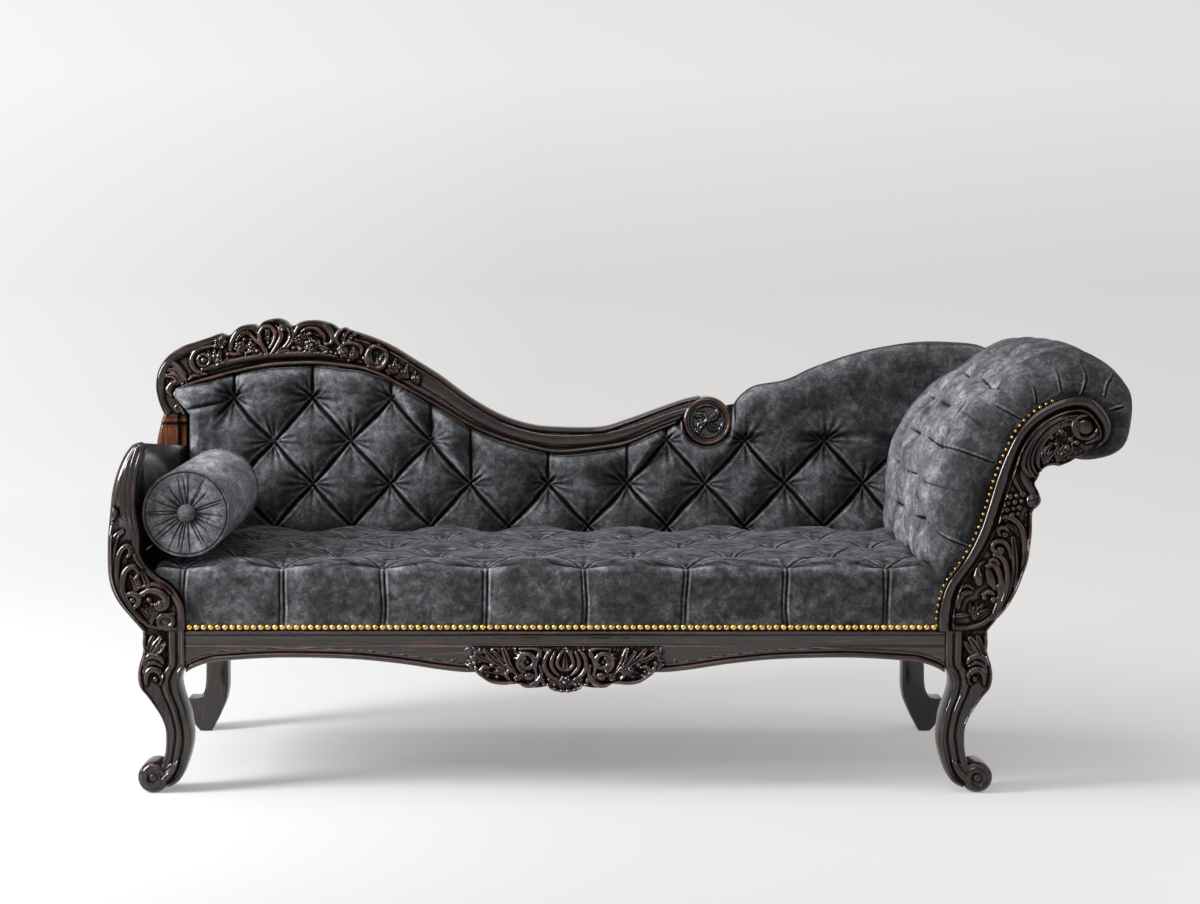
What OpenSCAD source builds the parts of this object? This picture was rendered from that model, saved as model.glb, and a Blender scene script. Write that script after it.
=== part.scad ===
// Victorian fainting couch: carved show-wood frame, deep-buttoned upholstery and a loose bolster.
// X runs along the seat with the headrest at +X, Y runs from the front to the back, Z is up.
// The shapes are drawn about the middle of the front rail's face, at floor level, and are then
// moved so that the origin is at the middle of the couch's footprint.

/* [Seat] */
// Length of the front rail between the two front legs
seat_length = 1412; // [1200:4:1800]
// Depth from the front rail's face to the tufted back
seat_depth = 538; // [480:2:640]
// Height of the seat's padding above the spring deck
seat_pad_h = 84; // [60:1:110]
// Height that the rails stand above the tops of the legs
rail_rise = 42; // [35:1:60]
// Thickness of the seat rails
rail_t = 30; // [24:1:36]
// Height of the apron below the tops of the legs, at its ends
apron_drop = 78; // [66:1:90]

/* [Legs] */
// Height of the legs
leg_h = 303; // [260:1:360]
// Width of the square block at the top of a leg
leg_block_w = 80; // [70:1:95]
// Depth of a front leg
leg_depth = 64; // [54:1:80]
// Depth of a rear leg
rear_leg_depth = 52; // [46:1:64]
// Radius of the scroll at a front foot
foot_scroll_r = 28; // [22:1:30]

/* [Back] */
// Height of the crest's peak above the tops of the legs
crest_rise = 560; // [500:2:640]
// Reach of the crest beyond the left leg block's inner face
crest_reach = 148; // [130:1:170]
// Length of the crest rail
crest_length = 1202; // [1100:2:1300]
// Thickness of the crest rail, front to back
crest_t = 47; // [40:1:60]
// Thickness of the tufted back pad
back_pad_t = 60; // [50:1:75]
// Thickness of the hidden back frame
back_frame_t = 25; // [20:1:32]

/* [Arm] */
// Reach of the arm beyond the left leg block's inner face
arm_reach = 144; // [120:1:170]
// Height of the arm above the tops of the legs
arm_rise = 345; // [290:1:400]
// Thickness of the curved arm board
arm_board_t = 26; // [20:1:30]
// Thickness of the carved front facings of arm and headrest
facing_t = 34; // [28:1:44]

/* [Headrest] */
// Reach of the headrest roll beyond the right leg block's inner face
headrest_reach = 346; // [300:1:400]
// Height of the headrest above the tops of the legs
headrest_rise = 525; // [470:1:600]
// Width of one cross slat in the headrest
slat_w = 42; // [30:1:55]

/* [Bolster] */
// Radius of the bolster
bolster_r = 83; // [65:1:90]
// Length of the bolster
bolster_l = 440; // [360:2:480]

/* [Tufting] */
// Spacing of the back's buttons along a row
back_pitch = 165; // [150:1:200]
// Height between two rows of the back's buttons
back_row = 90; // [75:1:110]
// Spacing of the seat's buttons along a row
seat_pitch = 187; // [160:1:220]
// Depth of the tufting in the back
back_tuft = 26; // [14:1:32]
// Depth of the tufting in the seat
seat_tuft = 17; // [10:1:24]
// Depth of the tufting in the headrest
head_tuft = 15; // [8:1:22]
// Radius of an upholstery button
button_r = 9; // [7:0.5:12]

/* [Nails] */
// Radius of a nail's domed head
nail_r = 4.6; // [3.5:0.1:5.5]
// Spacing of the nails along a row
nail_pitch = 13.2; // [12:0.1:20]

/* [Hidden] */
$fn = 48;

// Colours
wood = [0.13, 0.075, 0.055];
frame_wood = [0.55, 0.40, 0.25];
velvet = [0.17, 0.17, 0.18];
brass = [0.80, 0.58, 0.20];
jute = [0.60, 0.50, 0.34];
steel = [0.55, 0.56, 0.58];

// Clearances and overruns
fit_gap = 0.2;      // around a tenon and between glued faces
soft_gap = 0.6;     // between padding and what it lies against
cut = 2;            // overrun of every cut
nail_facets = 14;
button_facets = 16;
relief = 4;         // height of a raised moulding
carve_h = 12;       // height of the applied carving

// Stations along X, from the middle of the front rail
half = seat_length / 2;
block_out = half + leg_block_w;
// Stations along Y, from the front rail's face
back_front = seat_depth;
back_face = back_front + back_pad_t;           // rear of the back padding
back_end = back_face + back_frame_t;           // rear of the back frame
crest_front = back_end - crest_t;
rear_leg_front = back_end - rear_leg_depth;
facing_front = -8;                             // the facings stand proud of the rail
facing_end = facing_front + facing_t;
leg_front = -4;
// Stations along Z
apron_low = leg_h - apron_drop;
deck = leg_h + rail_rise;
spring_wire = 4;
cloth_t = 2;
clip_t = 1.5;
deck_cloth_z = deck + spring_wire + clip_t + 2 * fit_gap;
pad_base = deck_cloth_z + cloth_t + soft_gap;
seat_top = pad_base + seat_pad_h;
arm_top = leg_h + arm_rise;

// The footprint's middle, which becomes the origin
left_end = -half - max(arm_reach, crest_reach);
right_end = half + headrest_reach;
carve_front = facing_front - relief - carve_h;
middle = [(left_end + right_end) / 2, (back_end + cloth_t + carve_front) / 2, 0];

// Curves
function unit(v) = v / norm(v);
function backwards(p) = [for (i = [len(p) - 1 : -1 : 0]) p[i]];
function sized(shares, w, h) = [for (s = shares) [s[0] * w, s[1] * h]];
function moved(p, by) = [for (q = p) q + by];
function mirrored(p) = [for (q = p) [-q[0], q[1]]];
function bend(a, b, c, d, t) =
  ((2 * b) + (c - a) * t + (2 * a - 5 * b + 4 * c - d) * t * t + (3 * b - a - 3 * c + d) * t * t * t) / 2;
// A smooth curve through the points, with n steps from each point to the next
function smooth(p, n = 5) = let (last = len(p) - 1) concat(
  [for (i = [0 : last - 1], k = [0 : n - 1])
    bend(p[max(i - 1, 0)], p[i], p[i + 1], p[min(i + 2, last)], k / n)],
  [p[last]]);
function heading(p, i) = unit(p[min(i + 1, len(p) - 1)] - p[max(i - 1, 0)]);
// The curve moved sideways to its left by d
function beside(p, d) = [for (i = [0 : len(p) - 1]) let (h = heading(p, i)) p[i] + d * [-h[1], h[0]]];
function part_of(p, a, b) = [for (i = [a : b]) p[i]];
// Distance along a curve to each of its points
function run(p, i = 0, s = 0) = i >= len(p) ? [] :
  let (t = i == 0 ? 0 : s + norm(p[i] - p[i - 1])) concat([t], run(p, i + 1, t));
function step_at(r, s, i = 1) = (i >= len(r) - 1 || r[i] >= s) ? i : step_at(r, s, i + 1);
function along(p, r, s) = let (i = step_at(r, s), t = (s - r[i - 1]) / (r[i] - r[i - 1]))
  p[i - 1] + (p[i] - p[i - 1]) * t;
// n + 1 points at equal distances along the curve
function even(p, n) = let (r = run(p), all = r[len(r) - 1]) [for (k = [0 : n]) along(p, r, all * k / n)];
// n + 1 points along the curve, closer together where the curve's own points are
function spread(p, n) = [for (k = [0 : n]) let (t = k * (len(p) - 1) / n, i = min(floor(t), len(p) - 2))
  p[i] + (p[i + 1] - p[i]) * (t - i)];
// Height of a curve that runs in +X, at x
function height_at(p, x, i = 1) = (i >= len(p) - 1 || p[i][0] >= x)
  ? let (t = max(0, min(1, (x - p[i - 1][0]) / (p[i][0] - p[i - 1][0]))))
    p[i - 1][1] + (p[i][1] - p[i - 1][1]) * t
  : height_at(p, x, i + 1);

// Solids
module placed() { translate(-middle) children(); }
// An outline drawn in X and Z, standing from y0 to y1
module upright(outline, y0, y1) {
  translate([0, y1, 0]) rotate([90, 0, 0]) linear_extrude(height = y1 - y0) polygon(outline);
}
// An outline drawn in Y and Z, running from x0 to x1
module lengthwise(outline, x0, x1) {
  translate([x0, 0, 0]) rotate([90, 0, 90]) linear_extrude(height = x1 - x0) polygon(outline);
}
module block(x0, x1, y0, y1, z0, z1) { translate([x0, y0, z0]) cube([x1 - x0, y1 - y0, z1 - z0]); }
// A strip of width w on the left of a curve
module strip(p, w, y0, y1) { upright(concat(p, backwards(beside(p, w))), y0, y1); }
// A domed head on a face that looks towards -Y
module dome(r, at) {
  translate(at) difference() {
    sphere(r = r, $fn = nail_facets);
    block(-r - cut, r + cut, 0, r + cut, -r - cut, r + cut);
  }
}
// A spiral band whose outside starts at radius r0 and angle a0, and shrinks to r1 over the turns
function spiral(r0, r1, a0, turns, n) =
  [for (i = [0 : n]) let (t = i / n, a = a0 + 360 * turns * t) (r0 + (r1 - r0) * t) * [cos(a), sin(a)]];
module volute(centre, r0, r1, a0, turns, w, y0, y1, n = 30) {
  outer = spiral(r0, r1, a0, turns, n);
  inner = spiral(r0 - w, r1 - w / 2, a0, turns, n);
  translate([centre[0], 0, centre[1]]) upright(concat(outer, backwards(inner)), y0, y1);
  // the eye covers the band's end
  translate([centre[0], y1, centre[1]]) rotate([90, 0, 0]) cylinder(r = 1.25 * r1, h = y1 - y0);
}
// Outline of a leaf from a to b, w wide to each side and bowed to its left by c
leaf_steps = 8;
leaf_round_share = 0.8;
function leaf(a, b, w, c) = let (
  d = b - a, n = [-d[1], d[0]] / norm(d),
  at = function(i) a + d * i / leaf_steps + n * 4 * c * i * (leaf_steps - i) / leaf_steps / leaf_steps,
  wide = function(i) n * w * pow(sin(180 * i / leaf_steps), leaf_round_share))
  concat([a], [for (i = [1 : leaf_steps - 1]) at(i) + wide(i)], [b],
    [for (i = [leaf_steps - 1 : -1 : 1]) at(i) - wide(i)]);
// A leaf of the carving on the face at y, with its raised vein
module carved_leaf(a, b, w, c, y, height) {
  upright(leaf(a, b, w, c), y - height, y - fit_gap);
  upright(leaf(a + (b - a) / leaf_steps, b - (b - a) / leaf_steps, w / 3, c), y - 1.4 * height,
    y - height / 2);
}
// A closed tube through rings of equal length, with flat ends. A fan from the first point closes an
// end that this point sees whole, and a band of m steps outside and m / 2 inside has its own cap.
function fan_cap(count) = [for (k = [1 : count - 2]) [0, k, k + 1]];
function band_cap(m) = let (n = m / 2, inner = function(i) m + 1 + n - i) [for (i = [0 : n - 1])
  each [[2 * i, 2 * i + 1, inner(i)], [2 * i + 1, inner(i + 1), inner(i)],
    [2 * i + 1, 2 * i + 2, inner(i + 1)]]];
module skin(rings, cap) {
  n = len(rings);
  m = len(rings[0]);
  sides = [for (i = [0 : n - 2], k = [0 : m - 1]) let (a = i * m + k, b = i * m + (k + 1) % m)
    each [[a, b, b + m], [a, b + m, a + m]]];
  far = (n - 1) * m;
  first = [for (t = cap) [t[0], t[2], t[1]]];
  last = [for (t = cap) [far + t[0], far + t[1], far + t[2]]];
  polyhedron([for (r = rings, q = r) q], concat(sides, first, last), convexity = 6);
}

// Tufting
// Fullness of a diamond-buttoned surface, 0 at a button and 1 on a pillow, with buttons at whole u and v
crease_share = 0.42;
function diamond(u, v) = let (
  p = abs(sin(180 * (u + v / 2))), q = abs(sin(180 * (u - v / 2))))
  (1 - crease_share) * pow(p * q, 0.5) + crease_share * max(p, q);
// Rounding of a pad's edge, 0 at the edge and 1 from a distance of 1
function rounded(t) = let (s = 1 - max(0, min(1, t))) sqrt(max(0, 1 - s * s));

// Tenons
tenon_l = 24;
tenon_t = 12;
tenon_h = 44;
tenon_z = apron_low + (leg_h - apron_low) / 2;
front_tenon_y = leg_front + tenon_t;
rear_tenon_y = back_end - 2 * tenon_t;
end_tenon_x = block_out - leg_block_w / 2;

module tenon_x(x0, x1, y, gap = 0) {
  block(x0, x1, y - gap, y + tenon_t + gap, tenon_z - tenon_h / 2 - gap, tenon_z + tenon_h / 2 + gap);
}
module tenon_y(x, y0, y1, gap = 0) {
  block(x - tenon_t / 2 - gap, x + tenon_t / 2 + gap, y0, y1, tenon_z - tenon_h / 2 - gap,
    tenon_z + tenon_h / 2 + gap);
}

// Legs, drawn outwards from the block's inner face
leg_outer_shares = [[1, 1], [1, 0.93], [1, 0.865], [1.08, 0.795], [1.125, 0.72], [1.075, 0.65],
  [0.925, 0.595],
  [0.745, 0.535], [0.585, 0.467], [0.49, 0.397], [0.475, 0.327], [0.49, 0.257], [0.56, 0.185],
    [0.66, 0.13]];
leg_inner_shares = [[0, 1], [0, 0.9], [0, 0.79], [0.1, 0.742], [0.165, 0.68], [0.105, 0.595], [-0.03, 0.49],
  [-0.085, 0.41], [-0.11, 0.34], [-0.095, 0.27], [0, 0.172], [0.125, 0.088], [0.26, 0.052], [0.42, 0.035]];
leg_outer = smooth(sized(leg_outer_shares, leg_block_w, leg_h), 4);
leg_square_share = 0.7;                     // above this the inner face is flat
leg_inner = [for (q = smooth(sized(leg_inner_shares, leg_block_w, leg_h), 4))
  q[1] > leg_square_share * leg_h ? [max(q[0], 0), q[1]] : q];
foot_at = [0.76 * leg_block_w, foot_scroll_r + 2];
foot_pad_w = 0.26 * leg_block_w;
leg_outline = concat(leg_outer, [[foot_at[0] + foot_pad_w / 2, 0], [foot_at[0] - foot_pad_w / 2, 0]],
  backwards(leg_inner));
rib_w = 9;

module front_leg() {
  color(wood) difference() {
    union() {
      upright(leg_outline, leg_front, leg_front + leg_depth);
      translate([foot_at[0], leg_front + leg_depth, foot_at[1]]) rotate([90, 0, 0])
        cylinder(r = foot_scroll_r, h = leg_depth);
      strip(backwards(leg_outer), rib_w, leg_front - relief, leg_front + cut);
      strip(leg_inner, rib_w, leg_front - relief, leg_front + cut);
      volute(foot_at, 0.94 * foot_scroll_r, 0.3 * foot_scroll_r, 200, -1.4, 0.28 * foot_scroll_r,
        leg_front - relief, leg_front + cut);
    }
    block(-2 * leg_block_w, 2 * leg_block_w, leg_front - 2 * relief, leg_front + 2 * leg_depth,
      -leg_block_w, 0);
    block(-cut, tenon_l + fit_gap, front_tenon_y - fit_gap, front_tenon_y + tenon_t + fit_gap,
      tenon_z - tenon_h / 2 - fit_gap, tenon_z + tenon_h / 2 + fit_gap);
    tenon_y(leg_block_w / 2, leg_front + leg_depth - tenon_l - fit_gap, leg_front + leg_depth + cut,
      fit_gap);
  }
}

rear_outer_shares = [[1, 1], [1, 0.8], [0.9, 0.75], [0.62, 0.68], [0.56, 0.6], [0.56, 0.45], [0.58, 0.3],
  [0.7, 0.235], [0.86, 0.225], [1, 0.225]];
rear_foot_shares = [[1.02, 0.215], [1.0, 0.12], [0.9, 0.04], [0.76, 0], [0.42, 0]];
rear_inner_shares = [[0, 1], [0, 0.8], [0, 0.5], [0, 0.3], [0.02, 0.23], [0.14, 0.155], [0.3, 0.075],
  [0.4, 0.02]];
rear_outline = concat(smooth(sized(rear_outer_shares, leg_block_w, leg_h), 4),
  sized(rear_foot_shares, leg_block_w, leg_h),
  backwards(smooth(sized(rear_inner_shares, leg_block_w, leg_h), 3)));

module rear_leg() {
  color(wood) difference() {
    upright(rear_outline, rear_leg_front, back_end);
    block(-cut, tenon_l + fit_gap, rear_tenon_y - fit_gap, rear_tenon_y + tenon_t + fit_gap,
      tenon_z - tenon_h / 2 - fit_gap, tenon_z + tenon_h / 2 + fit_gap);
    tenon_y(leg_block_w / 2, rear_leg_front - cut, rear_leg_front + tenon_l / 2 + fit_gap, fit_gap);
  }
}

// Seat rails
apron_shares = [[-1, 0], [-0.95, 0.13], [-0.88, 0.25], [-0.75, 0.34], [-0.6, 0.32], [-0.45, 0.2],
  [-0.33, 0.08],
  [-0.25, 0], [0, -0.02], [0.25, 0], [0.33, 0.08], [0.45, 0.2], [0.6, 0.32], [0.75, 0.34], [0.88, 0.25],
    [0.95, 0.13], [1, 0]];
apron_edge = moved(smooth(sized(apron_shares, half, apron_drop), 4), [0, apron_low]);
upper_set_back = 12;
bead_r = 3;
bead_w = 8;

module front_rail() {
  color(wood) {
    upright(concat(apron_edge, [[half, leg_h], [-half, leg_h]]), 0, rail_t);
    // the hidden upper part is notched for the facings of the arm and the headrest
    difference() {
      block(-half, half, upper_set_back, rail_t, leg_h - cut, deck);
      mirror([1, 0, 0]) upright(arm_outline, 0, facing_end);
      upright(head_outline, 0, facing_end);
    }
    strip(apron_edge, bead_w, -relief, cut);
    translate([-half, 0, leg_h - bead_r]) rotate([0, 90, 0])
      cylinder(r = bead_r, h = seat_length, $fn = 24);
    for (s = [-1, 1]) tenon_x(s < 0 ? -half - tenon_l : half - cut, s < 0 ? -half + cut : half + tenon_l,
      front_tenon_y);
  }
}
module rear_rail() {
  color(frame_wood) {
    difference() {
      block(-half, half, back_end - rail_t, back_end, apron_low, deck);
      upright(head_outline, rear_frame_front, back_end + cut);
    }
    for (s = [-1, 1]) tenon_x(s < 0 ? -half - tenon_l : half - cut, s < 0 ? -half + cut : half + tenon_l,
      rear_tenon_y);
  }
}
// An end rail: its outer half carries the arm or headrest, its inner half stands up to the deck
end_front = leg_front + leg_depth;
end_inner = half + leg_block_w / 4;
module end_rail() {
  color(frame_wood) {
    block(end_inner, block_out, end_front, rear_leg_front, apron_low, leg_h);
    block(end_inner, end_inner + rail_t, end_front, rear_leg_front, leg_h - cut, deck);
    tenon_y(end_tenon_x, end_front - tenon_l, end_front + cut);
    tenon_y(end_tenon_x, rear_leg_front - cut, rear_leg_front + tenon_l / 2);
  }
}
block_side = 66;
block_low = apron_low + (leg_h - apron_low) / 2;
module corner_blocks() {
  inner_y = [rail_t, back_end - rail_t];
  color(frame_wood) for (sx = [-1, 1]) {
    translate([0, 0, block_low]) linear_extrude(height = leg_h - block_low)
      polygon([[sx * half, rail_t], [sx * (half - block_side), rail_t],
        [sx * end_inner, end_front + block_side],
        [sx * end_inner, end_front], [sx * half, end_front]]);
    translate([0, 0, block_low]) linear_extrude(height = leg_h - block_low)
      polygon([[sx * half, inner_y[1]], [sx * (half - block_side), inner_y[1]],
        [sx * end_inner, rear_leg_front - block_side],
        [sx * end_inner, rear_leg_front], [sx * half, rear_leg_front]]);
  }
}

// Apron carving: a fluted shell between scrolled leaves
carving_w = 171;
carving_up = 50;
carving_down = 36;
carving_shares = [[0, -1], [0.1, -0.95], [0.17, -0.78], [0.25, -0.7], [0.36, -0.72], [0.45, -0.55],
  [0.55, -0.5],
  [0.68, -0.54], [0.78, -0.42], [0.9, -0.3], [1, 0.05], [1.06, 0.35], [0.98, 0.75], [0.82, 0.9], [0.6, 1],
    [0.3, 0.96], [0, 0.98]];
carving_half = smooth([for (s = carving_shares) [s[0] * carving_w,
  s[1] * (s[1] < 0 ? carving_down : carving_up)]], 3);
carving_base = 8;
shell_ribs = 7;

module apron_carving() {
  z0 = apron_low;
  face = -relief - carving_base;
  up = carving_up;
  down = carving_down;
  w = carving_w;
  color(wood) translate([0, 0, z0]) {
    difference() {
      upright(concat(carving_half, mirrored(backwards(carving_half))), face, upper_set_back);
      // the carving laps the rail's face, its bead and the edge below it
      translate([0, 0, -z0]) {
        upright(concat(moved(apron_edge, [0, -fit_gap]), [[half, deck], [-half, deck]]), -fit_gap, rail_t);
        strip(moved(apron_edge, [0, -fit_gap]), bead_w + 2 * fit_gap, -relief - fit_gap, cut);
      }
    }
    for (i = [0 : shell_ribs - 1]) let (a = 90 + (i - (shell_ribs - 1) / 2) * 17,
      tip = [1.1 * cos(a), sin(a)])
      upright(leaf([0, -0.6 * down] + 0.15 * up * tip, [0, -0.1 * up] + 0.8 * up * tip, 0.035 * w, 0),
        face - relief - i / shell_ribs, face + cut);
    for (s = [-1, 1]) {
      volute([s * 0.3 * w, 0.42 * up], 0.11 * w, 0.035 * w, s > 0 ? 120 : 60, s * 1.2, 0.03 * w,
        face - relief, face + cut);
      volute([s * 0.62 * w, 0.1 * up], 0.13 * w, 0.035 * w, s > 0 ? 200 : -20, s * 1.2, 0.03 * w,
        face - relief, face + cut);
      volute([s * 0.86 * w, 0.4 * up], 0.08 * w, 0.03 * w, 90, s * 1.1, 0.023 * w, face - relief,
        face + cut);
    }
    translate([0, face + cut, -0.62 * down]) rotate([90, 0, 0]) cylinder(r = 0.047 * w, h = 2 * relief);
  }
}

// Springs, deck and dust cover
spring_pitch = 150;
spring_half_w = 34;
spring_bends = 10;
spring_land = rail_t / 2;
spring_count = floor((seat_length - 2 * spring_half_w) / spring_pitch);
spring_y0 = upper_set_back + (rail_t - upper_set_back) / 2;
spring_y1 = back_end - rail_t / 2;
bend_steps = 4;
bend_r = (spring_y1 - spring_y0) / spring_bends / 2;
spring_start = spring_half_w - bend_r;
clip_w = 12;
clip_l = 12;
spring_lead = clip_w + 2 * spring_wire;
// Both ends of the wire run on straight into their clips
spring_line = concat([[spring_start - spring_lead, spring_y0]],
  [for (i = [0 : spring_bends - 1], k = [0 : bend_steps])
    let (a = 180 * k / bend_steps, s = i % 2 == 0 ? 1 : -1)
      [s * (spring_start + bend_r * sin(a)), spring_y0 + (2 * i + 1 - cos(a)) * bend_r]],
  [[spring_lead - spring_start, spring_y1]]);
function thick(p, w) = concat(beside(p, w / 2), backwards(beside(p, -w / 2)));
module seat_springs() {
  color(steel) for (i = [0 : spring_count - 1])
    translate([(i - (spring_count - 1) / 2) * spring_pitch, 0, deck])
      linear_extrude(height = spring_wire) polygon(thick(spring_line, spring_wire));
}
// Each clip hooks over a wire's end and is nailed to the rail beside it
module spring_clip(x, y) {
  translate([x, y - clip_l / 2, deck]) difference() {
    cube([clip_w, clip_l, spring_wire + clip_t + fit_gap]);
    translate([-cut, (clip_l - spring_wire) / 2 - fit_gap, -cut])
      cube([clip_w + 2 * cut, spring_wire + 2 * fit_gap, spring_wire + fit_gap + cut]);
  }
}
module spring_clips() {
  color(steel) for (i = [0 : spring_count - 1]) {
    x = (i - (spring_count - 1) / 2) * spring_pitch;
    spring_clip(x + spring_start - spring_wire - clip_w, spring_y0);
    spring_clip(x - spring_start + spring_wire, spring_y1);
  }
}
module seat_deck_cloth() {
  // it passes between the front facings, and a tongue of it reaches the rear rail between the posts
  color(jute) {
    block(-end_inner, end_inner, facing_end + fit_gap, crest_front - fit_gap, deck_cloth_z,
      deck_cloth_z + cloth_t);
    block(-half + rail_t, half - rail_t, crest_front - cut, back_face - fit_gap, deck_cloth_z,
      deck_cloth_z + cloth_t);
  }
}
module dust_cover() {
  color([0.1, 0.1, 0.1]) block(-half + block_side, half - block_side, rail_t + fit_gap,
    back_end - rail_t - fit_gap,
    block_low - cloth_t, block_low - fit_gap);
}

// Left arm, drawn outwards from the left leg block's inner face
arm_outer_shares = [[0.555, 0], [0.713, 0.077], [0.888, 0.171], [0.982, 0.278], [1, 0.438], [0.972, 0.654],
  [0.921, 0.798], [0.817, 0.92], [0.697, 1]];
arm_inner_shares = [[0.007, 0], [-0.011, 0.063], [0.024, 0.15], [0.161, 0.243], [0.372, 0.308],
  [0.558, 0.401],
  [0.578, 0.524], [0.63, 0.683], [0.594, 0.848], [0.507, 0.957]];
// The rear post flares out to the arm and stops under the crest rail
post_outer_shares = [[0.555, 0], [0.713, 0.077], [0.888, 0.171], [0.992, 0.278], [1.021, 0.438],
  [1.042, 0.654],
  [1.021, 0.861], [0.965, 0.977], [0.917, 1.043]];
post_inner_shares = [[0, 0], [0.04, 0.1], [0.2, 0.17], [0.42, 0.225], [0.565, 0.28], [0.575, 0.45],
  [0.575, 0.75], [0.569, 1.043]];
arm_at = [half, leg_h];
arm_outer = moved(smooth(sized(arm_outer_shares, arm_reach, arm_rise), 3), arm_at);
arm_inner = moved(smooth(sized(arm_inner_shares, arm_reach, arm_rise), 3), arm_at);
post_outer = moved(smooth(sized(post_outer_shares, arm_reach, arm_rise), 3), arm_at);
post_inner = moved(smooth(sized(post_inner_shares, arm_reach, arm_rise), 3), arm_at);
arm_outline = concat(arm_outer, backwards(arm_inner));
post_outline = concat(post_outer, backwards(post_inner));
facing_bead = 10;
function between(a, b, t) = [for (i = [0 : len(a) - 1]) a[i] + (b[i] - a[i]) * t];

module arm_facing() {
  color(wood) {
    upright(arm_outline, facing_front, facing_end);
    strip(arm_outer, facing_bead, facing_front - relief, facing_front + cut);
    strip(backwards(arm_inner), facing_bead, facing_front - relief, facing_front + cut);
  }
}
// The board behind the facing runs back to the post and falls to the post's height as it goes
arm_rings = 8;
arm_fall = 48;
arm_top_at_post = [for (p = post_outer) if (p[1] < arm_top - arm_fall) p];
module arm_board() {
  rear_line = even(arm_top_at_post, len(arm_outer) - 1);
  // the first points of both ends lie on the rail, straight under the second
  function outer_at(t) = between(arm_outer, rear_line, t);
  function section(t) = let (o = outer_at(t),
    n = [for (q = beside(o, arm_board_t)) [q[0], max(q[1], leg_h)]])
    concat(o, backwards(n));
  y0 = facing_end + fit_gap;
  y1 = crest_front - fit_gap;
  cap = [for (k = [0 : len(arm_outer) - 2]) let (far = 2 * len(arm_outer) - 1)
    each [[k, k + 1, far - k], [k + 1, far - k - 1, far - k]]];
  color(wood) skin([for (k = [0 : arm_rings - 1]) let (t = k / (arm_rings - 1))
    [for (q = section(t)) [q[0], y0 + (y1 - y0) * t, q[1]]]], cap);
}
// Scroll and leaves at the foot of the arm, and more leaves climbing it
module arm_carving() {
  w = arm_reach;
  h = arm_rise;
  y = facing_front;
  color(wood) translate([half, 0, leg_h]) {
    volute([0.5 * w, 0.16 * h], 0.17 * w, 0.05 * w, 60, 1.4, 0.06 * w, y - carve_h / 2, y - fit_gap);
    for (i = [0 : 3]) carved_leaf([(0.62 + 0.02 * i) * w, (0.2 + 0.03 * i) * h],
      [(0.86 - 0.02 * i) * w, (0.25 + 0.06 * i) * h],
      0.04 * w, -0.02 * w, y, relief + i / 2);
    for (i = [0 : 2]) carved_leaf([(0.785 - 0.01 * i) * w, (0.46 + 0.13 * i) * h],
      [(0.8 - 0.03 * i) * w, (0.6 + 0.13 * i) * h],
      0.04 * w, 0.01 * w, y, relief + i / 2);
  }
}
module rear_left_post() {
  color(wood) {
    upright(post_outline, crest_front, back_end);
    // a small moulding under the crest rail
    x = post_inner[len(post_inner) - 1][0];
    z = post_inner[len(post_inner) - 1][1];
    block(x, post_outer[len(post_outer) - 1][0], crest_front - relief, crest_front + cut,
      z - 2 * facing_bead, z - facing_bead);
  }
}

// Crest rail, from its left end
crest_left = -half - crest_reach;
crest_upper_shares = [[0.0136, 0.644], [0.0052, 0.694], [0, 0.7655], [0.0216, 0.8614], [0.0716, 0.9152],
  [0.1116, 0.944],
  [0.1266, 0.937], [0.1466, 0.97], [0.1682, 0.978], [0.1781, 0.967], [0.1882, 0.989], [0.2098, 1],
    [0.2247, 0.99],
  [0.2365, 0.97], [0.2545, 0.989], [0.279, 0.993], [0.3041, 0.98], [0.3183, 0.961], [0.3272, 0.966],
    [0.375, 0.93],
  [0.446, 0.85], [0.5452, 0.705], [0.5974, 0.641], [0.6496, 0.604], [0.7018, 0.593], [0.7714, 0.595],
    [0.8712, 0.662],
  [0.9158, 0.696], [0.9445, 0.7098]];
crest_lower_shares = [[0.0285, 0.712], [0.0384, 0.73], [0.0716, 0.755], [0.1381, 0.796], [0.2049, 0.821],
  [0.2686, 0.826],
  [0.3573, 0.808], [0.4196, 0.751], [0.493, 0.664], [0.5452, 0.596], [0.5974, 0.548], [0.6496, 0.514],
    [0.7018, 0.4955],
  [0.7714, 0.5105], [0.8157, 0.529], [0.9001, 0.6075]];
crest_heel_shares = [[0.0384, 0.687], [0.0494, 0.659], [0.0552, 0.644]];
crest_at = [crest_left, leg_h];
crest_upper = moved(smooth(sized(crest_upper_shares, crest_length, crest_rise), 3), crest_at);
crest_lower = moved(smooth(sized(crest_lower_shares, crest_length, crest_rise), 3), crest_at);
crest_heel = moved(sized(crest_heel_shares, crest_length, crest_rise), crest_at);
scroll_r = 51;
scroll_at = [crest_left + crest_length - scroll_r, leg_h + 0.618 * crest_rise];
crest_outline = concat(crest_upper, [scroll_at], backwards(crest_lower), crest_heel);
crest_bead = 9;
scroll_sunk = 5;
plain_from_share = 0.42;

module crest_rail() {
  plain = [for (p = crest_upper) if (p[0] > crest_left + plain_from_share * crest_length) p];
  color(wood) {
    difference() {
      union() {
        upright(crest_outline, crest_front, back_end);
        translate([scroll_at[0], back_end, scroll_at[1]]) rotate([90, 0, 0])
          cylinder(r = scroll_r, h = crest_t + relief);
      }
      translate([scroll_at[0], crest_front + scroll_sunk, scroll_at[1]]) rotate([90, 0, 0])
        cylinder(r = scroll_r - crest_bead, h = crest_t);
    }
    strip(backwards(plain), crest_bead, crest_front - relief, crest_front + cut);
    strip(crest_lower, crest_bead, crest_front - relief, crest_front + cut);
  }
}
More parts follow.
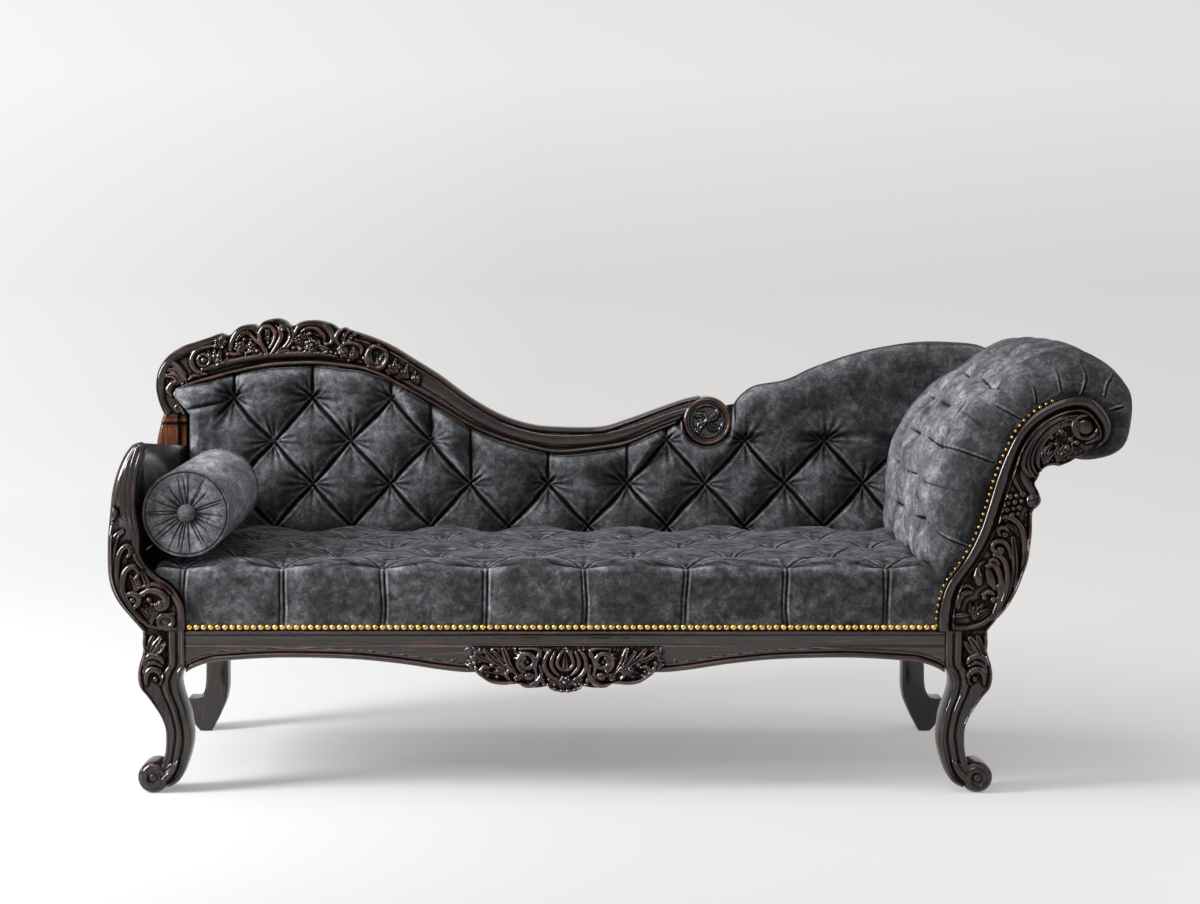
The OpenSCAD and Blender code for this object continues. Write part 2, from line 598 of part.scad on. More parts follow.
// Six petals round a boss, set in the scroll's eye
petals = 6;
module crest_rosette() {
  r = scroll_r - crest_bead - fit_gap;
  y = crest_front + scroll_sunk - fit_gap;
  color(wood) translate([scroll_at[0], y, scroll_at[1]]) rotate([90, 0, 0]) {
    difference() {
      cylinder(r = r, h = scroll_sunk);
      for (i = [0 : petals - 1]) rotate([0, 0, 360 * (i + 0.5) / petals])
        translate([r, 0, scroll_sunk - relief / 2])
        cylinder(r = 0.3 * r, h = scroll_sunk);
    }
    cylinder(r = 0.3 * r, h = 2 * scroll_sunk);
    for (i = [0 : petals - 1]) rotate([0, 0, 360 * i / petals]) translate([0.55 * r, 0, scroll_sunk - cut])
      cylinder(r = 0.2 * r, h = relief + cut);
  }
}
// Scrolls and leaves on the hump of the crest, either side of a palmette
hump_share = 0.2098;
palmette_leaves = 5;
module crest_carving() {
  w = crest_length;
  h = crest_rise;
  y = crest_front;
  top = y - carve_h / 2;
  color(wood) translate([crest_left, 0, leg_h]) {
    volute([0.045 * w, 0.83 * h], 0.032 * w, 0.008 * w, 120, -1.3, 0.011 * w, top, y - fit_gap);
    volute([0.125 * w, 0.875 * h], 0.03 * w, 0.008 * w, 30, 1.3, 0.01 * w, top, y - fit_gap);
    volute([0.285 * w, 0.905 * h], 0.033 * w, 0.008 * w, 150, -1.3, 0.011 * w, top, y - fit_gap);
    volute([0.36 * w, 0.875 * h], 0.024 * w, 0.008 * w, 30, 1.3, 0.009 * w, top, y - fit_gap);
    for (i = [0 : palmette_leaves - 1]) let (a = 90 + (i - (palmette_leaves - 1) / 2) * 28)
      carved_leaf([(hump_share + 0.004 * cos(a)) * w, (0.87 + 0.015 * sin(a)) * h],
        [(hump_share + 0.03 * cos(a)) * w, (0.88 + 0.09 * sin(a)) * h], 0.008 * w, 0, y,
          relief + i / palmette_leaves);
    translate([hump_share * w, y - fit_gap, 0.87 * h]) rotate([90, 0, 0])
      cylinder(r = 0.009 * w, h = carve_h / 2);
    for (i = [0 : 2]) {
      carved_leaf([0.071 * w, (0.835 + 0.01 * i) * h], [(0.09 + 0.008 * i) * w, (0.83 + 0.045 * i) * h],
        0.006 * w, 0, y, relief + i / 2);
      carved_leaf([0.165 * w, (0.86 + 0.025 * i) * h], [0.193 * w, (0.855 + 0.02 * i) * h], 0.006 * w,
        0.004 * w, y, relief + i / 2);
      carved_leaf([(0.318 + 0.004 * i) * w, (0.88 - 0.01 * i) * h],
        [(0.328 + 0.012 * i) * w, (0.93 - 0.045 * i) * h],
        0.006 * w, 0, y, relief + i / 2);
    }
  }
}

// Headrest, drawn outwards from the right leg block's inner face
head_at = [half, leg_h];
nail_line_shares = [[-0.033, 0], [-0.036, 0.046], [-0.025, 0.099], [0.012, 0.171], [0.107, 0.259],
  [0.179, 0.352],
  [0.228, 0.448], [0.272, 0.543], [0.329, 0.64], [0.4, 0.724], [0.5, 0.785], [0.63, 0.824], [0.74, 0.83],
    [0.803, 0.811],
  [0.861, 0.764], [0.879, 0.721], [0.851, 0.678], [0.786, 0.648], [0.7, 0.63]];
head_edge_shares = [[0.227, 0], [0.34, 0.099], [0.407, 0.194], [0.442, 0.263], [0.461, 0.352],
  [0.464, 0.421],
  [0.506, 0.461], [0.476, 0.521], [0.532, 0.581], [0.611, 0.587], [0.665, 0.612]];
head_face_shares = [[-0.13, 0.347], [-0.121, 0.448], [-0.09, 0.564], [-0.038, 0.644], [0.055, 0.733],
  [0.159, 0.815],
  [0.312, 0.895], [0.468, 0.96], [0.575, 0.992], [0.647, 1], [0.759, 0.977], [0.879, 0.928],
    [0.962, 0.867], [1, 0.79],
  [0.981, 0.69], [0.925, 0.636], [0.832, 0.605], [0.751, 0.596], [0.69, 0.61]];
nail_line = moved(smooth(sized(nail_line_shares, headrest_reach, headrest_rise), 3), head_at);
head_edge = moved(smooth(sized(head_edge_shares, headrest_reach, headrest_rise), 3), head_at);
head_outline = concat(head_edge, backwards(nail_line));
head_low = seat_top + soft_gap;
head_start = [half + head_face_shares[0][0] * headrest_reach, head_low];
head_face = concat([head_start],
  moved(smooth(sized(head_face_shares, headrest_reach, headrest_rise), 3), head_at));
rear_frame_front = back_end - facing_t;

module headrest_facing() {
  color(wood) {
    upright(head_outline, facing_front, facing_end);
    strip(backwards(nail_line), facing_bead, facing_front - relief, facing_front + cut);
    strip(head_edge, facing_bead, facing_front - relief, facing_front + cut);
  }
}
module headrest_rear_frame() { color(wood) upright(head_outline, rear_frame_front, back_end); }
// Spiral of the scroll, an acanthus leaf on the ear, and long leaves below it
module headrest_carving() {
  w = headrest_reach;
  h = headrest_rise;
  y = facing_front;
  top = y - carve_h / 2;
  color(wood) translate([half, 0, leg_h]) {
    volute([0.746 * w, 0.724 * h], 0.105 * w, 0.035 * w, 170, -1.5, 0.034 * w, top, y - fit_gap);
    volute([0.13 * w, 0.085 * h], 0.1 * w, 0.03 * w, 210, -1.4, 0.03 * w, top, y - fit_gap);
    for (i = [0 : 3]) carved_leaf([(0.385 - 0.03 * i) * w, (0.42 - 0.02 * i) * h],
      [(0.35 - 0.06 * i) * w, (0.2 + 0.01 * i) * h],
      0.03 * w, 0.02 * w, y, relief + i / 2);
    for (i = [0 : 2]) carved_leaf([(0.4 - 0.02 * i) * w, (0.49 + 0.02 * i) * h],
      [(0.48 + 0.05 * i) * w, (0.64 + 0.045 * i) * h],
      0.025 * w, 0.04 * w, y, relief + i / 2);
    translate([0.4 * w, y - fit_gap, 0.46 * h]) rotate([90, 0, 0]) cylinder(r = 0.03 * w, h = carve_h);
  }
}
slats = 9;
slat_t = 14;
slat_inset = 3;
// Slats bridge the two end frames just inside the nail line
module headrest_slats() {
  line = beside(backwards([for (p = nail_line) if (p[1] > head_low) p]), slat_inset);
  r = run(line);
  total = r[len(r) - 1];
  color(frame_wood) for (i = [0 : slats - 1]) {
    s = (total - slat_w) * i / (slats - 1);
    strip([for (k = [0 : 3]) along(line, r, s + slat_w * k / 3)], slat_t, facing_end, rear_frame_front);
  }
}
panel_t = 6;
module headrest_outside() {
  color(wood) strip(head_edge, panel_t, facing_end, rear_frame_front);
}

// Headrest padding
head_cols = 5;
head_rows = 6;
head_row_steps = 3;
head_points = 32;
head_edge_r = 34;
head_edge_steps = [0, 5, 14];
head_tuft_share = head_rows * head_row_steps / head_points;
lining_gap = 4.4;                           // the lining spans the tight curve of the scroll in flats
// Depth of the padding below its full form, at distance s along the face and depth y
head_col = (back_end - 2 * head_edge_r) / (head_cols - 0.5);
function head_rounding(y) = (1 - rounded(min(y - facing_front, back_end - y) / head_edge_r)) * head_edge_r;
function head_dip(s, y) = let (
  total = head_tuft_share, row = s / total * head_rows, column = (y - head_edge_r) / head_col,
  fade = s > total ? max(0, 1 - (s - total) / (1 - total) * 2) : rounded(4 * s))
  head_tuft * (1 - diamond(column, row)) * fade;
module headrest_pad() {
  line = even(head_face, head_points);
  lining = beside([for (p = nail_line) if (p[1] > head_low + soft_gap) p], lining_gap);
  inner = spread(lining, head_points / 2);
  ys = concat(head_edge_steps, [for (k = [1 : 4 * head_cols - 2]) head_edge_r + head_col * (k - 1) / 4],
    [for (d = backwards(head_edge_steps)) back_end - d]);
  function depth_at(k, y) = let (s = k / head_points, end = min(1, 6 * (1 - s)))
    (head_rounding(y) + head_dip(s, y)) * end;
  color(velvet) skin([for (y = backwards(ys))
    concat(
      [for (k = [0 : head_points]) let (h = heading(line, k), d = depth_at(k, y),
        q = line[k] + d * [h[1], -h[0]])
        [q[0], y, max(q[1], head_low)]],
      [for (q = backwards(inner)) [q[0], y, q[1]]])], band_cap(head_points));
}
// Buttons sit in the dips, square to the face
module covered_button(r) {
  rotate_extrude($fn = button_facets) intersection() {
    translate([0, -r]) circle(r = 1.3 * r);
    square([r, r]);
  }
}
// How far a button stands out of a dip, so that it clears the facets that rise from it
rise_share = 0.78;
function button_lift(dip, step) = dip * rise_share * button_r / step + soft_gap / 2;
module headrest_buttons() {
  line = even(head_face, head_points);
  color(velvet) for (i = [1 : head_rows - 1], j = [0 : head_cols - 1]) {
    y = head_edge_r + head_col * (j + (i % 2) / 2);
    k = head_row_steps * i;
    h = heading(line, k);
    dip = head_dip(k / head_points, y);
    q = line[k] + (head_rounding(y) + dip - button_lift(dip, head_col / 4)) * [h[1], -h[0]];
    if (y < back_end - head_edge_r) translate([q[0], y, q[1]])
      rotate([0, -90 + atan2(-h[0], h[1]) * -1, 0]) covered_button(button_r);
  }
}

// Wing: the raised right end of the back
wing_start = crest_left + crest_length;
wing_end_share = 0.468;
wing_length = half + wing_end_share * headrest_reach - wing_start;
wing_shares = [[0, 0.69], [0.015, 0.733], [0.052, 0.773], [0.104, 0.802], [0.219, 0.823], [0.334, 0.874],
  [0.507, 0.931],
  [0.679, 0.966], [0.795, 0.975], [0.91, 0.971], [1, 0.956]];
wing_top = moved(smooth(sized(wing_shares, wing_length, headrest_rise), 3), [wing_start + soft_gap, leg_h]);
roll_h = 45;
wing_rail_h = 50;
module clear_of_headrest(y0, y1) {
  difference() {
    children();
    upright(concat(beside(head_face, soft_gap), [head_at + [headrest_reach, 0]], [[head_start[0], leg_h]]),
      y0 - cut, y1 + cut);
  }
}
wing_body = [for (p = wing_top) if (p[0] > wing_start + roll_h / 2) p];
wing_rail_low = moved(wing_body, [0, -roll_h - wing_rail_h]);
module wing_rail() {
  color(frame_wood) clear_of_headrest(back_face, back_end)
    upright(concat(moved(wing_body, [0, -roll_h - fit_gap]), backwards(wing_rail_low)), back_face,
      back_end);
}

// Back frame
stay_gap = 20;
stay_low = deck + stay_gap;
stay_h = 40;
post_w = 45;
mid_post_shares = [0.417, 0.757];
wing_post_share = 0.174;
right_post_gap = 10;                         // from the post to the headrest's face
right_post_x = head_start[0] - post_w - right_post_gap;
wing_post_w = wing_post_share * (right_post_x - wing_start);
module stay_rail() {
  color(frame_wood) difference() {
    block(-half - arm_reach / 2, right_post_x, back_face, back_end, stay_low, stay_low + stay_h);
    mirror([1, 0, 0]) upright(post_outline, back_face - cut, back_end + cut);
  }
}
// The stretch of a line from x0 to x1, a glue gap lower
function under(top, x0, x1) = moved(concat([[x0, height_at(top, x0)]],
  [for (p = top) if (p[0] > x0 && p[0] < x1) p],
  [[x1, height_at(top, x1)]]), [0, -fit_gap]);
// Posts and webs are cut to the line that they meet
module cut_post(x, w, z0, top, y0,
  y1) { upright(concat([[x + w, z0], [x, z0]], under(top, x, x + w)), y0, y1); }
module back_mid_posts() {
  color(frame_wood) {
    for (s = mid_post_shares)
      cut_post(crest_left + s * crest_length, post_w, stay_low + stay_h, crest_lower, back_face, back_end);
    // a short post carries the scroll end of the crest and the wing
    x = scroll_at[0] - post_w / 2;
    difference() {
      block(x, x + post_w, back_face, back_end, stay_low + stay_h, scroll_at[1]);
      translate([scroll_at[0], back_end + cut, scroll_at[1]]) rotate([90, 0, 0])
        cylinder(r = scroll_r + fit_gap, h = back_frame_t + 2 * cut);
    }
    cut_post(wing_start + wing_post_w, wing_post_w, stay_low + stay_h, wing_rail_low, back_face, back_end);
  }
}
module rear_right_post() {
  color(frame_wood) cut_post(right_post_x, post_w, deck, wing_rail_low, back_face, back_end);
}
web_w = 50;
web_t = 2;
module back_webbing() {
  color(jute) for (i = [0 : 8]) {
    x = -half + web_w + i * 0.8 * back_pitch;
    top = x + web_w < crest_lower[len(crest_lower) - 1][0] ? crest_lower : moved(wing_top, [0, -roll_h]);
    if (x + web_w < scroll_at[0] - scroll_r || x > wing_start)
      cut_post(x, web_w, stay_low, top, back_face - web_t - fit_gap, back_face - fit_gap);
  }
}

// Back padding
back_left = -half - 0.558 * arm_reach + soft_gap;
back_right_share = 0.4;                     // the padding stops here, short of the wing's tip
back_right = half + back_right_share * headrest_reach;
back_tuck = 28;                             // depth that the padding reaches down behind the seat
back_low = seat_top - back_tuck;
back_rear = back_face - web_t - 2 * soft_gap;
back_edge_r = 40;
back_edge_t = 10;
back_origin = [back_left + 0.1 * back_pitch, seat_top];
back_cells = 4;
back_points = 15;
function scroll_under(x) = let (r = scroll_r + relief)
  scroll_at[1] - sqrt(max(0, r * r - pow(x - scroll_at[0], 2)));
function back_high(x) =
  x < scroll_at[0] - scroll_r ? height_at(crest_lower, x) - soft_gap - relief :
  x < wing_start ? min(scroll_under(x), height_at(crest_lower, x) - relief) : height_at(wing_top, x);
// Where the headrest's face lies in front of the back's right end, the padding stops above it
rising_face = [for (p = head_face)
  if (p[0] > head_start[0] - soft_gap && p[1] < leg_h + 0.97 * headrest_rise) p];
function back_floor(x) = x < head_start[0] - soft_gap ? back_low
  : max(back_low, height_at(rising_face, x + 3 * soft_gap) + 2 * soft_gap);
function back_fullness(x, z) = rounded(min(x - back_left, back_right - x, back_high(x) - z) / back_edge_r);
function back_y(x, z) = let (f = back_fullness(x, z),
  u = (x - back_origin[0]) / back_pitch, v = (z - back_origin[1]) / back_row)
  back_rear - back_edge_t - f * (back_rear - back_front - back_edge_t - back_tuft * (1 - diamond(u, v)));
back_step = back_pitch / back_cells;
face_turn = head_start[0] + back_step;
back_edge_shares = [0, 0.2, 0.55];
back_lip = back_edge_shares[1] * back_edge_r;
face_step_shares = [-1, 0.8, 3.2, 8, 16, 29, 45, 66];
back_xs = concat([for (d = back_edge_shares) back_left + d * back_edge_r],
  [for (x = [back_origin[0] + back_step : back_step : scroll_at[0] - scroll_r - back_lip]) x],
  [for (a = [180 : -22.5 : 22.5]) scroll_at[0] + (scroll_r - soft_gap) * cos(a)],
  [wing_start - soft_gap, wing_start + back_lip],
  [for (x = [back_origin[0] : back_step : head_start[0] - back_step / 4]) if (x > wing_start + roll_h / 2)
    x],
  [for (k = face_step_shares) head_start[0] + k * soft_gap],
  [for (x = [face_turn + back_step / 2 : back_step / 2 : back_right - back_lip]) x], [back_right]);
module back_pad() {
  color(velvet) skin([for (x = back_xs)
    let (z0 = back_floor(x), z1 = back_high(x))
    concat(
      [[x, back_rear, z0]],
      [for (k = [0 : back_points]) let (z = z0 + (z1 - z0) * k / back_points) [x, back_y(x, z), z]],
      [[x, back_rear, z1]])], fan_cap(back_points + 3));
}
function back_line(x) = let (z0 = back_floor(x), z1 = back_high(x))
  [for (k = [0 : back_points]) let (z = z0 + (z1 - z0) * k / back_points) [z, back_y(x, z)]];
function below(xs, x, i = 1) = (i >= len(xs) - 1 || xs[i] >= x) ? i : below(xs, x, i + 1);
// The padding's own facets, cut at x
function back_cut(x) = let (i = below(back_xs, x), a = back_xs[i - 1], b = back_xs[i],
  t = (x - a) / (b - a),
  p = back_line(a), q = back_line(b))
  concat([for (k = [0 : back_points - 1]) each [p[k] + (q[k] - p[k]) * t, p[k] + (q[k + 1] - p[k]) * t]],
    [p[back_points] + (q[back_points] - p[back_points]) * t]);
module back_buttons() {
  rim = [for (t = [0, 0.42, 0.83], a = [0 : 45 : 315]) t * button_r * [cos(a), sin(a)]];
  columns = floor((back_right - back_origin[0]) / back_pitch);
  color(velvet) for (j = [0 : 3], i = [0 : columns]) {
    x = back_origin[0] + back_pitch * (i + (j % 2) / 2);
    z = back_origin[1] + back_row * j;
    if (j > 0 && z < back_high(x) - back_edge_r && z > back_floor(x) + back_edge_r && x < back_right
      - back_edge_r) {
      y = min([for (p = rim) height_at(back_cut(x + p[0]), z + p[1])]);
      translate([x, y - soft_gap / 2, z]) rotate([90, 0, 0]) covered_button(button_r);
    }
  }
}
// The roll over the wing's top rail
module wing_roll() {
  arc = [for (a = [0 : 15 : 90]) [sin(a), cos(a)]];
  line = [for (p = wing_body) if (p[1] - roll_h > height_at(rising_face, p[0]) + soft_gap) p];
  r = back_end - back_face;
  color(velvet) skin([for (p = line)
    concat([for (q = arc) [p[0], back_face + q[0] * r, p[1] - r + q[1] * r]],
      [[p[0], back_end, p[1] - roll_h], [p[0], back_face, p[1] - roll_h]])], fan_cap(len(arc) + 2));
}
module outside_back() {
  left = -half - 0.57 * arm_reach;
  up = 14;
  low = [for (p = crest_lower) if (p[0] > left && p[0] < scroll_at[0] - scroll_r) p + [0, up]];
  high = [for (p = wing_body) if (p[0] < half) p - [0, roll_h / 2]];
  color([0.08, 0.08, 0.085]) clear_of_headrest(back_end, back_end + cloth_t)
    upright(concat([[left, seat_top]], low, high, [[half, deck], [-half + rail_t, deck]]), back_end,
      back_end + cloth_t);
}

// Seat padding
seat_left = -half - 0.35 * arm_reach;
seat_right = half + 0.085 * headrest_reach;
seat_row = 130;
seat_origin = [-0.745 * half, 0.155 * seat_row];
seat_cells = 4;
seat_end = seat_depth - soft_gap;
seat_edge_r = 42;
seat_edge_drop = 22;
seat_swell = 9;
lip_low = leg_h + fit_gap;
nail_band = 2.6 * nail_r;
lip_clear = 3;
arm_rise_line = [for (p = backwards([for (q = arm_inner) if (q[1] < seat_top + seat_edge_drop) q])) [-p[0],
  p[1]]];
head_rise_line = [for (p = nail_line)
  if (p[1] < seat_top + seat_edge_drop && p[1] > leg_h + 0.046 * headrest_rise) p];
lip_left = -half + lip_clear;
lip_right = head_rise_line[0][0] - lip_clear / 3;
// Underside of the padding, which lies over the feet of the facings at its ends
function seat_floor(x) =
  x < lip_left ? height_at(arm_rise_line, x - soft_gap) + 7 * soft_gap :
  x > lip_right ? height_at(head_rise_line, x + soft_gap) + 2.4 * soft_gap : lip_low;
function seat_fullness(x, y) = rounded(min(x - seat_left, seat_right - x,
  seat_end - y + seat_edge_r / 2) / seat_edge_r);
function seat_z(x, y) = let (f = seat_fullness(x, y),
  u = (x - seat_origin[0]) / seat_pitch, v = (y - seat_origin[1]) / seat_row,
    front = rounded((y + seat_swell) / seat_edge_r))
  seat_top - seat_edge_drop * (1 - f * front) - seat_tuft * (1 - diamond(u, v)) * f * front;
seat_step = seat_pitch / seat_cells;
seat_steps = [for (y = [seat_origin[1] : seat_row / seat_cells : seat_end - lip_clear]) y];
seat_inner_xs = [for (x = [seat_origin[0] - seat_pitch : seat_step : lip_right - seat_step / 4])
  if (x > lip_left + lip_clear) x];
left_step_shares = [12, 8.67, 6, 4, 2.33, 0.5];
right_step_shares = [0.067, 0.67, 1.67, 3.33, 5.67, 8.67];
seat_xs = concat([seat_left, seat_left + 2.5 * lip_clear],
  [for (d = left_step_shares) lip_left - d * lip_clear], [lip_left], seat_inner_xs,
    [lip_right - 2 * nail_r, lip_right],
  [for (d = right_step_shares) lip_right + d * lip_clear], [seat_right - 2 * lip_clear, seat_right]);
function seat_ring(x) = let (
  z0 = seat_floor(x), z1 = max(pad_base, z0 + lip_clear / 3), top = seat_z(x, 0),
    z2 = min(z0 + nail_band, (z0 + top) / 2),
  swell = seat_swell * rounded(min(x - lip_left, lip_right - 2 * nail_r - x) / seat_edge_r))
  concat(
    [[x, upper_set_back - soft_gap, z1], [x, upper_set_back - soft_gap, z0],
      [x, 0, z0], [x, 0, z2], [x, -0.8 * swell, z2 + 0.3 * (top - z2)], [x, -swell, z2 + 0.6 * (top - z2)],
      [x, -0.8 * swell, z2 + 0.85 * (top - z2)], [x, 0, top]],
    [for (y = seat_steps) [x, y, seat_z(x, y)]],
    [[x, seat_end, seat_z(x, seat_end)], [x, seat_end, z1]]);
module seat_pad() { color(velvet) skin([for (x = seat_xs) seat_ring(x)], fan_cap(len(seat_ring(0)))); }
module seat_buttons() {
  rows = floor((seat_end - seat_origin[1]) / seat_row);
  columns = floor((seat_right - seat_origin[0]) / seat_pitch);
  color(velvet) for (j = [1 : rows], i = [-1 : columns]) {
    x = seat_origin[0] + seat_pitch * (i + (j % 2) / 2);
    y = seat_origin[1] + seat_row * j;
    if (x > seat_left + seat_edge_r && x < head_start[0] - seat_edge_r && y < seat_end - button_r)
      translate([x, y, seat_top - seat_tuft + button_lift(seat_tuft, seat_step)]) covered_button(button_r);
  }
}

// Nails
module seat_nails() {
  n = floor((seat_length - 2 * nail_pitch) / nail_pitch);
  color(brass) for (i = [0 : n]) dome(nail_r,
    [(i - n / 2) * nail_pitch, -fit_gap, leg_h + nail_r + 2 * fit_gap]);
}
small_nail_share = 0.8;
module headrest_nails() {
  r = small_nail_share * nail_r;
  line = beside([for (p = nail_line) if (p[1] > leg_h + 3 * nail_r) p], r + fit_gap);
  n = floor(run(line)[len(line) - 1] / nail_pitch);
  points = even(line, n);
  color(brass) for (p = part_of(points, 0, n - 6)) dome(r, [p[0], -fit_gap, p[1]]);
}

// Bolster
bolster_gap = -2;                           // the arm curves away here, so the bolster reaches past its foot
bolster_at = [-half - 0.558 * arm_reach + bolster_r + bolster_gap, 6, seat_top + soft_gap + bolster_r];
bolster_dish = 9;
bolster_edge = 14;
module bolster() {
  r = bolster_r;
  l = bolster_l;
  edge = [for (a = [0 : 15 : 90]) [r - bolster_edge * (1 - sin(a)), bolster_edge * (1 - cos(a))]];
  dish = [[0, bolster_dish], [0.3 * r, bolster_dish], [0.55 * r, 0.35 * bolster_dish]];
  side = concat(dish, edge);
  color(velvet) translate([bolster_at[0], bolster_at[1] + l, bolster_at[2]]) rotate([90, 0, 0])
    rotate_extrude($fn = 64) polygon(concat(side, backwards([for (p = side) [p[0], l - p[1]]])));
}
module bolster_buttons() {
  r = 0.2 * bolster_r;
  y0 = bolster_at[1] + bolster_dish - fit_gap;
  y1 = bolster_at[1] + bolster_l - bolster_dish + fit_gap;
  color(velvet) {
    translate([bolster_at[0], y0, bolster_at[2]]) rotate([90, 0, 0]) covered_button(r);
    translate([bolster_at[0], y1, bolster_at[2]]) rotate([-90, 0, 0]) covered_button(r);
  }
}

placed() front_rail();
placed() rear_rail();
placed() mirror([1, 0, 0]) end_rail();  // left_end_rail
placed() end_rail();  // right_end_rail
placed() corner_blocks();
placed() mirror([1, 0, 0]) translate([half, 0, 0])  // front_left_leg
  front_leg();
placed() translate([half, 0, 0]) front_leg();  // front_right_leg
placed() mirror([1, 0, 0]) translate([half, 0, 0]) rear_leg();  // rear_left_leg
placed() translate([half, 0, 0]) rear_leg();  // rear_right_leg
placed() apron_carving();
placed() seat_springs();
placed() spring_clips();
placed() seat_deck_cloth();
placed() dust_cover();
placed() seat_pad();
placed() seat_buttons();
placed() seat_nails();
placed() mirror([1, 0, 0]) rear_left_post();
placed() rear_right_post();
placed() back_mid_posts();
placed() stay_rail();
placed() wing_rail();
placed() crest_rail();
placed() crest_carving();
placed() crest_rosette();
placed() back_webbing();
placed() back_pad();
placed() wing_roll();
placed() back_buttons();
placed() outside_back();
placed() mirror([1, 0, 0]) arm_facing();
placed() mirror([1, 0, 0]) arm_carving();
placed() mirror([1, 0, 0]) arm_board();
placed() headrest_facing();
placed() headrest_carving();
placed() headrest_rear_frame();
placed() headrest_slats();
placed() headrest_pad();
placed() headrest_buttons();
placed() headrest_nails();
placed() headrest_outside();
placed() bolster();
placed() bolster_buttons();
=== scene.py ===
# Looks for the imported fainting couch: carved dark wood, deep-buttoned velvet, brass nails and a bolster.
# Lengths are in millimetres about the middle of the front rail's face at floor level, as on a
# drawing of the couch, and mesh_piece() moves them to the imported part's own frame in metres.
import math

import bmesh
import bpy
import numpy as np
from mathutils import Euler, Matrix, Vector


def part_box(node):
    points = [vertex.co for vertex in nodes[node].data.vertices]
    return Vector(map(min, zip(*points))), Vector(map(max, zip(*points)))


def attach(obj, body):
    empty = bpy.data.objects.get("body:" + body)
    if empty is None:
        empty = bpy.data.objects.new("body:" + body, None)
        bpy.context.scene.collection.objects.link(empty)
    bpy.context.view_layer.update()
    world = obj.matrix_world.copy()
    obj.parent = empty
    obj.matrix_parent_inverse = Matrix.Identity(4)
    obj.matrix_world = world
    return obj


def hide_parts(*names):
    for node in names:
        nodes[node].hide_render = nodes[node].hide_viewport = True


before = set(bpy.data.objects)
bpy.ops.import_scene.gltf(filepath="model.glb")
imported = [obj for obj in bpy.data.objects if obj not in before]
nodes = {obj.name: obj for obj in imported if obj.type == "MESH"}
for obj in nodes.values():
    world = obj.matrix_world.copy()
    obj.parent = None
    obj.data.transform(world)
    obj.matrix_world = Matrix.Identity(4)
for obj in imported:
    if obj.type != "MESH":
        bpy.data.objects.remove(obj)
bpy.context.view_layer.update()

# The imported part's origin on the drawing
DRAWN_MIDDLE = np.array([99.0, 300.5, 0.0])


def box_mm(node):
    """Lowest and highest corner of a CAD node on the drawing, in mm."""
    low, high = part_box(node)
    return np.array(low) * 1000 + DRAWN_MIDDLE, np.array(high) * 1000 + DRAWN_MIDDLE


# Stations of the couch on the drawing
HALF = 706.0                # from the middle to the inner face of a leg's block
LEG_H = 303.0               # top of the legs' blocks and of the rails
SEAT_TOP = box_mm("seat_pad")[1][2]
BACK_FRONT = 538.0          # front of the back's padding
BACK_REAR = 595.0           # rear of that padding
BACK_END = 623.0            # rear of the whole couch
CREST_FRONT = 576.0         # faces of the crest rail, the two front facings and the front legs
FACING_FRONT = -8.0
FACING_END = 26.0
LEG_FRONT = -4.0
SEAT_END = 537.0            # rear end of the seat's padding
CELL = 1.6                  # length of a mesh cell along the carved facings and the crest
STEPS = 6                   # steps of a smoothed outline from one drawn point to the next


# Curves

def smooth(points, steps=STEPS):
    """A smooth curve through the points, with some steps from each point to the next."""
    p = np.asarray(points, float)
    last = len(p) - 1
    out = []
    for i in range(last):
        a, b, c, d = p[max(i - 1, 0)], p[i], p[i + 1], p[min(i + 2, last)]
        for t in np.arange(steps) / steps:
            out.append((2 * b + (c - a) * t + (2 * a - 5 * b + 4 * c - d) * t ** 2
                        + (3 * b - a - 3 * c + d) * t ** 3) / 2)
    return np.array(out + [p[last]])


def lengths(p):
    """Distance from the first point to each point along a curve."""
    return np.concatenate([[0], np.cumsum(np.linalg.norm(np.diff(p, axis=0), axis=1))])


def even(points, n):
    """n + 1 points at equal distances along a curve."""
    p = np.asarray(points, float)
    r = lengths(p)
    at = np.linspace(0, r[-1], n + 1)
    return np.stack([np.interp(at, r, p[:, k]) for k in range(p.shape[1])], 1)


def heading(p):
    """Unit direction of a curve at each of its points."""
    d = np.gradient(p, axis=0)
    return d / np.linalg.norm(d, axis=1)[:, None]


def beside(p, d):
    """A plane curve moved to its left."""
    h = heading(p)
    return p + np.stack([-h[:, 1], h[:, 0]], 1) * np.asarray(d).reshape(-1, 1)


def matched(a, b, marks_a, marks_b):
    """Even points on two smoothed curves, between marks that face each other."""
    parts = []
    for i in range(len(marks_a) - 1):
        first, second = (c[m[i] * STEPS: m[i + 1] * STEPS + 1] for c, m in ((a, marks_a), (b, marks_b)))
        k = max(8, int(lengths(first)[-1] / CELL))
        end = None if i == len(marks_a) - 2 else -1
        parts.append((even(first, k)[:end], even(second, k)[:end]))
    return (np.concatenate(side) for side in zip(*parts))


def value_noise(x, y, scale, seed):
    """Smooth noise from -1 to 1 with features of about scale."""
    grid = np.random.RandomState(seed).uniform(-1, 1, (64, 64))
    u, v = np.asarray(x) / scale, np.asarray(y) / scale
    i, j = np.floor(u).astype(int), np.floor(v).astype(int)
    s, t = u - i, v - j
    s, t = s * s * (3 - 2 * s), t * t * (3 - 2 * t)
    i, j, i1, j1 = i % 64, j % 64, (i + 1) % 64, (j + 1) % 64
    return ((grid[i, j] * (1 - s) + grid[i1, j] * s) * (1 - t)
            + (grid[i, j1] * (1 - s) + grid[i1, j1] * s) * t)


def step(t):
    """A soft step from 0 to 1."""
    t = np.clip(t, 0, 1)
    return t * t * (3 - 2 * t)


def rounded(t):
    """0 at an edge and 1 from a distance of 1, along a quarter circle."""
    s = 1 - np.clip(t, 0, 1)
    return np.sqrt(np.maximum(0, 1 - s * s))


# Materials

